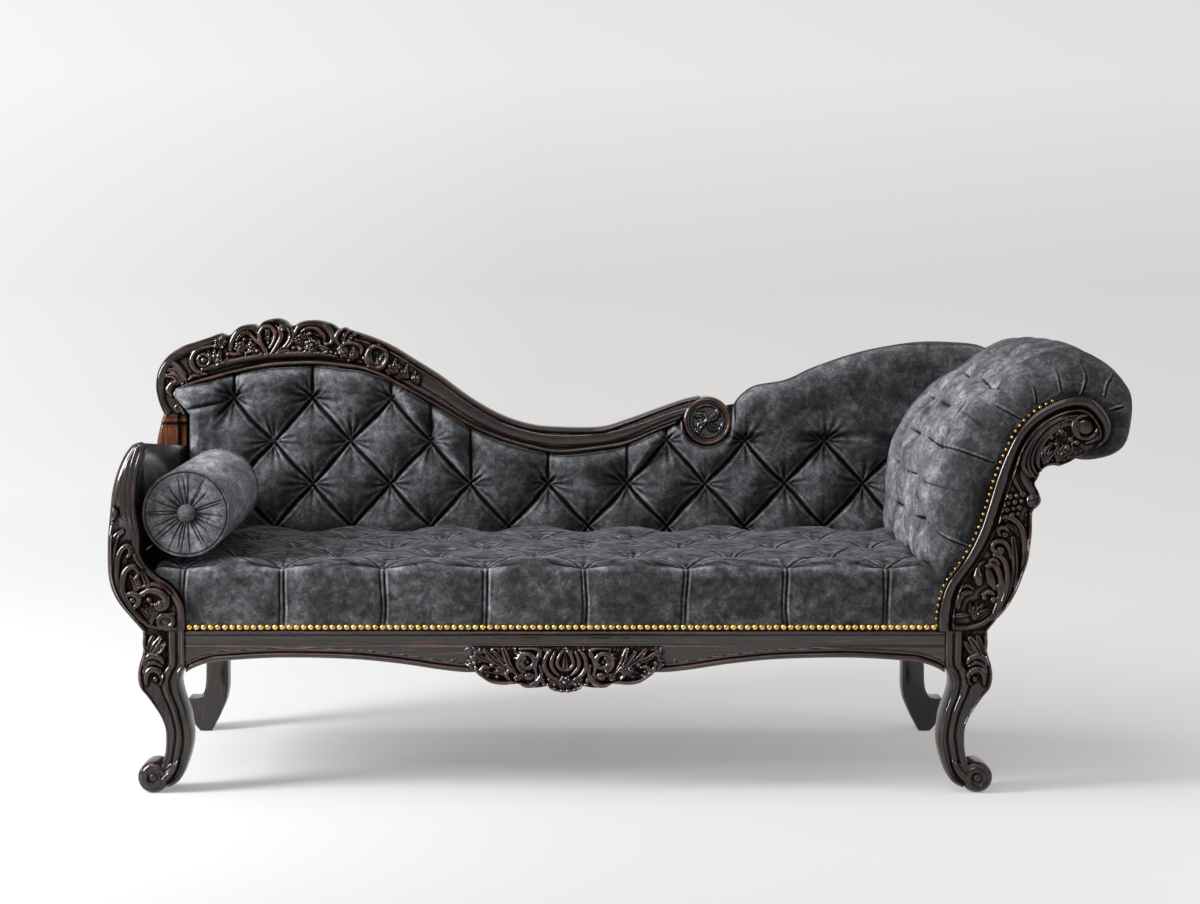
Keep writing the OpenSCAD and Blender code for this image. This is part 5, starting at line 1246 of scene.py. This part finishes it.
def back_pad():
    face = smooth(HEAD_FACE)
    face = face[: np.argmax(face[:, 0] > 892) + 1]
    xs = np.concatenate([np.arange(BACK_LEFT, 350, 2.0), np.arange(350.5, 888, 2.0)])
    rows = 200
    centres = button_places()
    top = back_top(xs)
    over_headrest = np.interp(xs - 16, face[8:, 0], face[8:, 1]) - 6
    floor = np.where(xs < 684, BACK_LOW, np.minimum(over_headrest, top - 2))
    z = np.linspace(BACK_LOW, top.max(), rows)[None, :]
    z = np.maximum(np.minimum(z, top[:, None]), floor[:, None])
    x = np.repeat(xs[:, None], rows, 1)
    # the left end leans out above the post, as far as the crest's cusp
    lean = np.interp(z, [663, 672, 687, 703, 716], [0, 8, 21, 34, 30])
    x = x - lean * step((-740 - x) / 45)
    y = back_surface(x, z) - wrinkles(x, z, centres, 17, 5)
    from_left = np.repeat((xs - BACK_LEFT)[:, None], rows, 1)
    edge = np.minimum(from_left, np.where(x > WING_FROM, 999, top[:, None] - z + 3))
    y = y + (1 - rounded(edge / 26)) * 30 * (x < WING_FROM)
    y = y + (1 - rounded(from_left / 24)) * 20
    # the wing rolls over its rail to the rear
    up = np.clip((z - (top[:, None] - WING_ROLL)) / WING_ROLL, 0, 1)
    y = np.where(x > WING_FROM, y + WING_ROLL * (1 - np.sqrt(np.maximum(0, 1 - up ** 2))), y)
    y = np.minimum(y, BACK_REAR - 1)
    front = np.stack([x, y, z], -1)
    rear = np.stack([front[:, -1], front[:, 0]], 1)
    rear[..., 1] = BACK_REAR
    # painted shade in the creases and painted highlights on the ridges of the cloth
    fold = np.concatenate([relief_of(-y, 3, 0.30), np.full((len(xs), 2), 0.5)], 1).ravel()
    loft("back_upholstery", np.concatenate([front, rear], 1), VELVET_BACK_SHADED, "velvet", replaces=["back_pad"],
         fill=0.8, sharp=70, fold=fold)
    places = []
    for cx, cz in centres:
        cy = float(back_surface(np.array([cx]), np.array([cz]))[0]) - 2.5
        places.append(((cx, cy, cz), (0, -1, 0.05)))
    buttons("back_button_set", places, 8.0, ["back_buttons"], fold=0.2)


def wing_roll():
    """The roll behind the wing's upper edge."""
    wing = even(smooth(WING_TOP), 180)
    rings = []
    for x, z in wing:
        if x < WING_FROM or x > 890:
            continue
        a = np.radians(np.linspace(0, 90, 16))
        y = BACK_REAR + 28 * np.sin(a)
        rings.append(np.stack([np.full(18, x), np.append(y, [BACK_END, BACK_REAR]),
                               np.append(z - WING_ROLL + WING_ROLL * np.cos(a), [z - 60, z - 60])], 1))
    loft("wing_roll_velvet", rings, VELVET_BACK_SHADED, "velvet", replaces=["wing_roll"], fill=0.8, sharp=60)


back_pad()
wing_roll()


# Seat

SEAT_PITCH, SEAT_ROW = 187.0, 130.0
SEAT_ORIGIN = (-526.0, 0.0)
SEAT_EDGE = 34.0
SEAT_CROWN = SEAT_TOP - 2.0
SEAT_LEFT, SEAT_RIGHT = -762.0, 733.0
FIRST_ROW_ARC = 0.87            # angle round the front edge at which the first row of buttons lies


def seat_low(xs):
    """Lower edge of the cloth, along the arm's facing, the rail and the headrest's nails."""
    arm = smooth(ARM_INNER) * [-1, 1]
    arm = arm[arm[:, 1] < SEAT_TOP - 4][::-1]
    order = np.argsort(arm[:, 0])
    line = smooth(NAIL_LINE)
    line = line[line[:, 1] < SEAT_TOP + 4]
    by_arm = np.interp(xs, arm[order, 0], arm[order, 1]) + 2
    by_headrest = np.interp(xs, line[6:, 0], line[6:, 1]) + 2
    low = np.where(xs < -HALF, by_arm, np.where(xs > 695, by_headrest, LEG_H + 1.0))
    return np.minimum(low, SEAT_TOP - 12)


def seat_rows(low):
    """The flat cloth row by row: y, z, the direction it faces and its place in the rows of buttons."""
    e, wide = SEAT_EDGE, len(low)
    z0 = np.maximum(SEAT_CROWN - e, low + 3)
    rows = []
    # up the front ...
    for t in np.linspace(0, 1, 36, endpoint=False):
        z = low + (z0 - low) * t
        y = 1.0 - 5.0 * math.sin(math.pi / 2 * t)
        rows.append((np.full(wide, y), z, (0, -1, 0), (z - (SEAT_CROWN - e) - FIRST_ROW_ARC * e) / SEAT_ROW))
    # ... round the edge ...
    for a in np.linspace(0, np.pi / 2, 18, endpoint=False):
        y = np.full(wide, e - e * math.cos(a)) - 4.0 * math.cos(a)
        rows.append((y, z0 + (SEAT_CROWN - z0) * math.sin(a), (0, -math.cos(a), math.sin(a)),
                     np.full(wide, (a - FIRST_ROW_ARC) * e / SEAT_ROW)))
    # ... and back over the top
    for y in np.linspace(e, SEAT_END, 175):
        v = (y - e + (np.pi / 2 - FIRST_ROW_ARC) * e) / SEAT_ROW
        rows.append((np.full(wide, y), np.full(wide, SEAT_CROWN), (0, 0, 1), np.full(wide, v)))
    y, z, facing, v = (np.array(part) for part in zip(*rows))
    return y, z, facing[:, None, :], v


def seat_depth(x, y, z, v, low, on_top):
    """How deep the pillows, pleats and wrinkles lie under the flat cloth."""
    px = x + 4.0 * value_noise(x, y - z, 70, 33)
    u = (px - SEAT_ORIGIN[0]) / SEAT_PITCH
    # down the front a narrow double pleat leaves each button
    low_part = 1 - 0.5 * np.exp(-np.abs(u - np.round(u)) * SEAT_PITCH / 16)
    full = diamond(u, v, 0.62) * on_top + low_part * (1 - on_top)
    d = (u - np.round(u)) * SEAT_PITCH
    pleat = 3.0 * np.exp(-((d - 4.5) / 1.7) ** 2) + 2.2 * np.exp(-((d + 4.0) / 1.7) ** 2)
    pleat = pleat - 1.8 * np.exp(-(d / 2.2) ** 2) - 1.8 * np.exp(-((d - 9.0) / 2.2) ** 2)
    pleat = pleat * (0.55 + 0.45 * step((z - low[None, :]) / 70))
    crease = folds(u, v, SEAT_PITCH, SEAT_ROW) * 0.55 * on_top * (0.3 + 0.7 * step((1 - full) * 1.6))
    crease = crease + pleat * (1 - on_top)
    depth = (22 - 8 * (1 - on_top)) * (1 - full) + crease
    uneven = 1.6 * value_noise(x, y + z, 42, 7) + 0.8 * value_noise(x, y + z, 15, 8)
    creased = np.abs(value_noise(x / 2.6 + 0.5 * y, 1.5 * y, 19, 9))
    uneven = uneven + 2.2 * on_top * np.exp(-(creased / 0.13) ** 2)
    pits = [(SEAT_ORIGIN[0] + SEAT_PITCH * (i + (j % 2) / 2), SEAT_ROW * j)
            for j in range(4) for i in range(-1, 8)]
    return depth + (uneven - 0.5 * wrinkles(x, v * SEAT_ROW, pits, 20, 15) * on_top)


def seat_button_places():
    """Where the seat's buttons lie and face: the first row on the rounded edge, the others on top."""
    e, a = SEAT_EDGE, FIRST_ROW_ARC
    places = []
    for j in range(6):
        for i in range(-1, 8):
            x = SEAT_ORIGIN[0] + SEAT_PITCH * (i + (j % 2) / 2)
            y = e - (np.pi / 2 - a) * e + SEAT_ROW * j
            if not (-735 < x < 640 and y < SEAT_END - 25):
                continue
            if j:
                places.append(((x, y, SEAT_CROWN - 23), (0, 0, 1)))
            else:
                r = e - 23.0
                at = (x, e - r * math.cos(a) - 3, SEAT_CROWN - e + r * math.sin(a))
                places.append((at, (0, -math.cos(a), math.sin(a))))
    return places


def seat():
    """Top and front of the seat as one cloth, buttoned from its front edge back."""
    xs = np.linspace(SEAT_LEFT, SEAT_RIGHT, 760)
    low = seat_low(xs)
    y, z, facing, v = seat_rows(low)
    x = np.repeat(xs[None, :], len(y), 0)
    on_top = step((v + 0.10) / 0.13)
    ends = rounded(np.minimum(x - SEAT_LEFT, SEAT_RIGHT - x) / 26)
    out = -seat_depth(x, y, z, v, low, on_top) * ends
    points = np.stack([x, y, z], -1) + facing * out[..., None]
    drop = ((1 - ends) * 16 + 44 * step((x - 648) / 74) ** 1.3) * (v > -0.3)
    points[..., 2] -= drop
    points[..., 2] = np.maximum(points[..., 2], low[None, :] + 0.5)
    # the cloth closes inside, under the top and behind the front
    floor_z = np.maximum(low, 354)
    close = np.stack([np.stack([xs, np.full(len(xs), at), floor], 1)
                      for at, floor in ((SEAT_END, floor_z), (12.0, floor_z), (12.0, low + 0.2))])
    rings = np.concatenate([points, close]).transpose(1, 0, 2)
    # painted shade in the creases, painted highlights on the ridges and a little painted shade over the whole
    # top
    fold = np.clip(relief_of(out, 3, 0.30) - 0.05 * on_top, 0, 1)
    fold = np.concatenate([fold, np.full((3, len(xs)), 0.5)]).T.ravel()
    loft("seat_upholstery", rings, VELVET, "velvet", replaces=["seat_pad"], fill=0.8, sharp=75, fold=fold)
    buttons("seat_button_set", seat_button_places(), 9.5, ["seat_buttons"])


seat()


# Headrest

HEAD_START, HEAD_END = 1.0, BACK_END - 2
HEAD_PITCH, HEAD_ROW = 240.0, 77.5
HEAD_FIRST = (HEAD_START + 94, 116.0)       # y of the first button and its distance up the face
HEAD_DEPTH = 34.0
HEAD_ROUND = 85.0               # radius of the long edge between the front and the inner face
HEAD_LOW = 386                  # where the drawn face starts, under the seat's top
# Pleats on the headrest's front
HEAD_PLEATS = [
    [(700, 648), (728, 643), (755, 634), (794, 620)], [(684, 503), (702, 482), (752, 461)],
    [(800, 725), (822, 713), (845, 700)], [(857, 775), (868, 757), (872, 728)],
    [(900, 806), (912, 782), (917, 748)], [(955, 807), (964, 778), (955, 744)],
    [(1019, 781), (1004, 764), (998, 742)], [(1034, 724), (1008, 716)]]


def head_dip(s, y):
    """How far the cloth lies under its fullest, at distances s up the face and at one y."""
    wander = [3.0 * value_noise(s, np.full(s.shape, y), 60, seed) for seed in (41, 42)]
    u = (y + wander[0] - HEAD_FIRST[0]) / HEAD_PITCH
    v = (s + wander[1] - HEAD_FIRST[1]) / HEAD_ROW
    buttoned = 1 - step((s - 453) / 90)
    channel = np.abs(np.sin(2 * np.pi * u)) ** 0.6
    full = np.clip(diamond(u, v, 0.94) - 0.42 * (1 - channel), 0, 1)
    fade = 1 - step((s - 613) / 140)
    channel = 1 - (1 - channel) * 0.75 * fade
    f = full * buttoned + channel * (1 - buttoned)
    creases = np.exp(-((2 * u - np.round(2 * u)) * HEAD_PITCH / 6.4) ** 2)
    creases = 3.0 * creases * (1 - buttoned) * fade
    # slack cloth hangs in soft upright folds between the buttons
    wave = 3.2 * value_noise(s / 4.5, np.full(s.shape, y), 26, 11)
    wave = wave + 0.5 * value_noise(s / 3, np.full(s.shape, y), 11, 12)
    rear = 14 * step((y - 0.35 * HEAD_END) / (0.65 * HEAD_END)) * step((s - 293) / 200)
    # the padding is shallow where it meets the back
    shallow = 1 - 0.8 * step((y - 470) / 50)
    return HEAD_DEPTH * (1 - f) * shallow * rounded(s / 30) + creases + wave * shallow + rear


def head_pleats():
    """Raised pleats on the front band, each with a groove beside it."""
    widths = (0.9, 1.6, 0.7)
    ridges = [stroke(line, widths, 2.2) for line in HEAD_PLEATS]
    grooves = [stroke(np.array(line) + [2.5, -4.0], widths, 2.6) for line in HEAD_PLEATS]
    return lambda p: relief(p[:, 0], p[:, 1], ridges) - relief(p[:, 0], p[:, 1], grooves)


def head_shade(heights, s):
    """The painted light values of the padding's rows, from the front to the rear: painted shade in the
    creases and painted highlights on the ridges.
    """
    fold = relief_of(np.array(heights), 3, 0.30)
    from_front = np.arange(len(heights))
    # painted highlight: the inner face, which faces the light from the left, is lightened in streaks
    inside = step((from_front - 42) / 46)[:, None] * (1 - step((s - 420) / 160))[None, :]
    streaks = value_noise(from_front[:, None] * 1.0, s[None, :] / 3.5, 9, 17)
    fold = fold + inside * ((0.34 + 0.40 * streaks) * step((fold - 0.2) / 0.2) + 0.7 * (fold - 0.5))
    # and painted shade darkens the cloth beside the nails
    return fold - 0.18 * (1 - step(from_front / 55))[:, None]


def headrest_pad():
    """Padding over the inner face and the roll, drawn from the seat up and round the scroll."""
    pleats = head_pleats()
    y0, y1 = HEAD_START, HEAD_END
    outer = smooth([(676, HEAD_LOW)] + HEAD_FACE, 8)
    line = smooth(NAIL_LINE, 8)
    line = line[line[:, 1] > HEAD_LOW]
    n = 520
    face = even(outer, n)
    inner = even(line, n)
    h = heading(face)
    out = np.stack([-h[:, 1], h[:, 0]], 1)
    total = lengths(outer)[-1]
    s = np.linspace(0, total, n + 1)
    edge = 36.0
    width = np.linalg.norm(inner - face, axis=1)
    inset = np.minimum(HEAD_ROUND, 0.72 * width)
    rear_inset = np.minimum(edge, 0.72 * width)
    # the front band rises from the nail line to the rounded edge, then the cloth runs to the rear
    band = np.linspace(0, 1, 30, endpoint=False)
    arc = np.linspace(0, np.pi / 2, 60, endpoint=False)
    deep = np.linspace(y0 + HEAD_ROUND, y1 - edge, 200)
    arc_end = np.linspace(0, np.pi / 2, 12)[1:]
    end_fade = np.clip((total - s) / 40, 0, 1)
    # the roll is fullest behind its front edge and lower at the rear
    plump = (6 + 6 * step((s - 480) / 150)) * step((s - 173) / 120) * step((total - s - 30) / 80)
    base = face + out * plump[:, None]

    rings, heights = [], []
    for t in band:
        # flat front band between the nail line and the face, with radial pleats at the buttons
        p = inner + (base - out * inset[:, None] - inner) * t
        swell = 3.0 * step(t / 0.6) - 1.0 * value_noise(s, np.full(s.shape, 60.0 * t), 26, 13)
        raised = pleats(p) * step(t / 0.15)
        rings.append((p, y0 + 4 - swell - raised))
        heights.append(swell + raised)
    for a in arc:
        y = y0 + HEAD_ROUND * (1 - math.cos(a))
        d = head_dip(s, y) * math.sin(a) ** 1.5
        p = base - out * (inset * (1 - math.sin(a)) + d * end_fade)[:, None]
        soft = value_noise(s, np.full(s.shape, 60.0 + 50 * a), 26, 13)
        raised = pleats(p) * math.cos(a)
        rings.append((p, y + (1 + soft) * math.cos(a) - raised))
        heights.append(3.0 + raised - d)
    for y in deep:
        d = head_dip(s, y)
        rings.append((base - out * (d * end_fade)[:, None], np.full(n + 1, y)))
        heights.append(3.0 - d)
    for a in arc_end:
        d = head_dip(s, y1 - edge * (1 - math.sin(a)))
        inward = rear_inset * (1 - math.cos(a)) + d * math.cos(a) * end_fade
        rings.append((base - out * inward[:, None], np.full(n + 1, y1 - edge * (1 - math.sin(a)))))
        heights.append(3.0 - d)
    rings += [(inner, np.full(n + 1, y)) for y in (y1, y1 - 40, FACING_END)]
    low = 380
    made = [np.stack([p[:, 0], np.broadcast_to(y, (n + 1,)), np.maximum(p[:, 1], low)], 1) for p, y in rings]
    made = np.array(made).transpose(1, 0, 2)
    fold = np.concatenate([head_shade(heights, s), np.full((3, n + 1), 0.5)]).T.ravel()
    loft("headrest_upholstery", made, VELVET, "velvet", replaces=["headrest_pad"], fill=0.85, sharp=75,
         fold=fold)
    places = []
    for j in range(5):
        for i in range(3):
            y = HEAD_FIRST[0] + HEAD_PITCH * (i + (j % 2) / 2)
            if y > y1 - edge:
                continue
            k = int(round((HEAD_FIRST[1] + HEAD_ROW * j) / total * n))
            p = base[k] - out[k] * (float(head_dip(s, y)[k]) - 1.0)
            places.append(((p[0], y, p[1]), (out[k][0], 0, out[k][1])))
    buttons("headrest_button_set", places, 8, ["headrest_buttons"], fold=0.2)


headrest_pad()


# Nails

def nail_row(name, places, r, material, replaces):
    """Domed heads, each with a short straight rim."""
    a = np.radians(np.arange(0, 360, 24))
    profile = [(r, -1.5)] + [(r * math.cos(t * 0.97), 0.8 * r * math.sin(t))
                             for t in np.linspace(0, math.pi / 2, 6)]
    heads = [np.array([np.stack([x + rr * np.cos(a), np.full(a.shape, y - up), z + rr * np.sin(a)], 1)
                       for rr, up in profile]) for x, y, z in places]
    piled(name, heads, material, "nail_brass", replaces=replaces, sharp=50)


def nails():
    seat_pitch, headrest_pitch = 13.3, 12.6
    count = int((2 * HALF - 14) / seat_pitch)
    seat_row = [((i - count / 2) * seat_pitch, -4.5, LEG_H + 7.5) for i in range(count + 1)]
    nail_row("seat_nail_row", seat_row, 5.4, BRASS, ["seat_nails"])
    line = beside(smooth(NAIL_LINE)[3:], 3.5)
    line = even(line, int(lengths(line)[-1] / headrest_pitch))
    head_row = [(p[0], -4.0, p[1]) for p in line if p[0] < 955 or p[1] < 700]
    nail_row("headrest_nail_row", head_row[:-13], 3.3, BRASS_DULL, ["headrest_nails"])


nails()


# Bolster

def bolster():
    low, high = box_mm("bolster")
    centre = (low + high) / 2
    r, length = (high[0] - low[0]) / 2 - 1, high[1] - low[1]
    a = np.radians(np.arange(0, 360, 0.9))
    random = np.random.RandomState(12)
    count = 27
    pleats = [(2 * math.pi * (k + random.uniform(-0.28, 0.28)) / count, random.uniform(0.8, 1.25))
              for k in range(count)]
    rings, shades = [], []

    def ring(rr, y, fold=0.5):
        rings.append(np.stack([centre[0] + rr * np.cos(a), np.broadcast_to(y, a.shape),
                               centre[2] + rr * np.sin(a)], 1))
        shades.append(np.broadcast_to(fold, a.shape))

    def end(y, sign, order):
        """Cloth gathered towards the button in pleats of uneven length."""
        for t in order:
            rr = r * (0.06 + 0.86 * t)
            groove = np.zeros(a.shape)
            for at, reach in pleats:
                d = np.angle(np.exp(1j * (a - at - 0.10 * math.sin(9 * at) * t))) * rr
                groove += np.exp(-(d / (1.0 + 0.6 * (1 - t))) ** 2) * step((reach - t) / 0.3)
            groove = np.clip(groove, 0, 1.2)
            wave = 0.8 * value_noise(a * 40, np.full(a.shape, 60 * t), 14, 21)
            dish = 13 * (1 - t) ** 1.3 + 4.5 - 3.5 * math.sin(math.pi * min(1, t * 1.02)) + wave
            dish = dish + 3.0 * groove * math.sin(math.pi * (0.15 + 0.8 * t))
            # painted shade in the pleats' grooves, and a little painted light on the cloth between them
            ring(rr, y + sign * dish, np.clip(0.58 - 0.36 * groove, 0, 1))

    def seam(y, sign):
        """The piped seam and its groove on both sides, with painted shade in the grooves and a painted
        highlight on the piping; the far end's run the other way.
        """
        parts = [(r - 6.2, y + 8.5 * sign, 0.05)]
        parts += [(r - 3.5 + 3.5 * math.sin(t), y + 6 * sign - 3.0 * sign * math.cos(t),
                   0.5 + 0.12 * math.sin(t)) for t in np.linspace(0, np.pi, 9)]
        parts.append((r - 4.0, y + 9.5 * sign, 0.2))
        for part in parts[::sign]:
            ring(*part)

    end(low[1], 1, np.linspace(0.05, 1, 34))
    seam(low[1], 1)
    for y in np.linspace(low[1] + 11, high[1] - 11, 90):
        k = (y - low[1]) / length
        sag = 2.2 * math.sin(math.pi * k)
        rr = r - 2.6 + sag + 0.9 * value_noise(a * 60 + 20 * k, np.full(a.shape, y), 26, 22)
        # painted light: the barrel is lightened all over, in faint streaks
        streaks = value_noise(a * 60, np.full(a.shape, y / 4), 5, 23)
        ring(rr, y, np.clip(0.92 + 0.08 * streaks, 0, 1))
    seam(high[1], -1)
    end(high[1], -1, np.linspace(1, 0.05, 34))
    loft("bolster_cushion", rings, VELVET_BOLSTER_LIT, "velvet", body="bolster", replaces=["bolster"], fill=0.9,
         fold=np.array(shades).ravel())
    ends = [((centre[0], y, centre[2]), (0, facing, 0)) for y, facing in ((low[1] + 9, -1), (high[1] - 9, 1))]
    buttons("bolster_button_pair", ends, 17, ["bolster_buttons"], material=VELVET_BOLSTER_LIT, fold=0.46,
            body="bolster")


bolster()


# Floor, light and camera

def studio():
    """A pale sheet that runs back under the couch and curves up behind it."""
    front_y, wall_y, high, bend, wide = -45.0, 45.0, 30.0, 10.0, 60.0     # in metres
    line = [(front_y, 0.0), (wall_y - bend, 0.0)]
    line += [(wall_y - bend + bend * math.sin(a), bend - bend * math.cos(a))
             for a in np.linspace(0.1, math.pi / 2, 16)]
    line += [(wall_y, high)]
    points = [(x, y, z) for y, z in line for x in (-wide, wide)]
    faces = [(2 * i, 2 * i + 1, 2 * i + 3, 2 * i + 2) for i in range(len(line) - 1)]
    mesh = bpy.data.meshes.new("studio_sheet")
    mesh.from_pydata(points, [], faces)
    mesh.shade_smooth()
    sheet = bpy.data.objects.new("studio_sheet", mesh)
    bpy.context.scene.collection.objects.link(sheet)
    material, tree, shader = node_material("studio_paper")
    place = add(tree, "ShaderNodeSeparateXYZ", {0: add(tree, "ShaderNodeTexCoord").outputs["Object"]}).outputs
    # painted light: to the camera and in reflections the sheet glows, its glow changing from left to right,
    # with the distance from a point in front of the couch ...
    stand_y, nearest = 4.9, 2.0
    reach = calculate(tree, "MAXIMUM", calculate(tree, "ADD", place[1], stand_y), nearest)
    side = span(tree, calculate(tree, "DIVIDE", place[0], reach), -0.27, 0.24)
    away = span(tree, calculate(tree, "DIVIDE", 1.0, reach), 0.294, 0.10)
    # ... and up the wall, and is even further forward than that point; this paints the fall of the studio's
    # light
    up = span(tree, place[2], 0.0, 4.0)
    forward = span(tree, place[1], -3.0, -8.0)
    near, middle, rear = (ramp(tree, side, list(zip((0.0, 0.5, 1.0), tones))) for tones in (
        ((0.04, 0.04, 0.042), (0.172, 0.160, 0.150), (0.325, 0.314, 0.306)),
        ((0.65, 0.65, 0.654), (0.452, 0.446, 0.436), (0.42, 0.412, 0.405)),
        ((0.77, 0.772, 0.775), (0.63, 0.632, 0.634), (0.58, 0.577, 0.574))))
    near = mix(tree, forward, near, (0.38, 0.38, 0.38, 1))
    rear = mix(tree, forward, rear, (0.60, 0.60, 0.60, 1))
    painted_glow = mix(tree, up, mix(tree, away, near, middle), rear)
    path = add(tree, "ShaderNodeLightPath").outputs
    seen = calculate(tree, "MAXIMUM", path["Is Camera Ray"], path["Is Glossy Ray"])
    fill_in(tree, shader, {
        "Base Color": (0.40, 0.397, 0.392, 1),
        "Roughness": 1.0,
        "Specular IOR Level": 0.0,
        "Emission Color": mix(tree, seen, (0, 0, 0, 1), painted_glow),
        "Emission Strength": 1.0,
    })
    mesh.materials.append(material)


def sky():
    """Pale to the camera and a weak cool light for the couch."""
    world = bpy.data.worlds.new("studio")
    bpy.context.scene.world = world
    world.use_nodes = True
    tree = world.node_tree
    tree.nodes.clear()
    camera_ray = add(tree, "ShaderNodeLightPath").outputs["Is Camera Ray"]
    colour = mix(tree, camera_ray, (0.31, 0.318, 0.33, 1), (0.80, 0.80, 0.80, 1))
    lit = add(tree, "ShaderNodeBackground", {"Color": colour, "Strength": 1.0})
    tree.links.new(lit.outputs[0], tree.nodes.new("ShaderNodeOutputWorld").inputs[0])


def lamp(name, kind, power, colour, direction, at=(0, 0, 0)):
    light = bpy.data.lights.new(name, kind)
    light.energy = power
    light.color = colour
    thing = bpy.data.objects.new(name, light)
    thing.location = at
    thing.rotation_euler = direction.to_track_quat("-Z", "Y").to_euler()
    bpy.context.scene.collection.objects.link(thing)
    return light


def sky_light(name, slope, strength, spread):
    """A broad even light from far away."""
    light = lamp(name, "SUN", strength, (1, 1, 1), -Vector(slope))
    light.angle = math.radians(spread)


def soft_box(name, at, aim, size, power, colour=(1, 1, 1)):
    light = lamp(name, "AREA", power, colour, Vector(aim) - Vector(at), at)
    light.shape = "RECTANGLE"
    light.size, light.size_y = size


def camera():
    data = bpy.data.cameras.new("camera")
    data.sensor_width = 36
    data.lens = 74.6
    data.shift_x = 0.029
    data.shift_y = -0.114
    eye = bpy.data.objects.new("camera", data)
    eye.location = (-0.099, -4.9005, 1.051)
    eye.rotation_euler = Euler((math.radians(90 - 2.0), 0, 0))
    bpy.context.scene.collection.objects.link(eye)
    bpy.context.scene.camera = eye


studio()
sky()
sky_light("overhead", (-0.43, -0.02, 1.0), 1.22, 42)
soft_box("left_box", (-3.2, -1.1, 1.8), (0.1, 0, 0.5), (1.0, 1.8), 225, (0.95, 0.975, 1.0))
soft_box("front_box", (-0.6, -3.6, 3.4), (0, 0, 0.5), (3.0, 0.6), 36)
soft_box("right_box", (3.0, -1.0, 1.8), (0.2, 0, 0.5), (0.6, 2.0), 14, (0.95, 0.97, 1.0))
camera()
bpy.context.scene.view_settings.view_transform = "Standard"
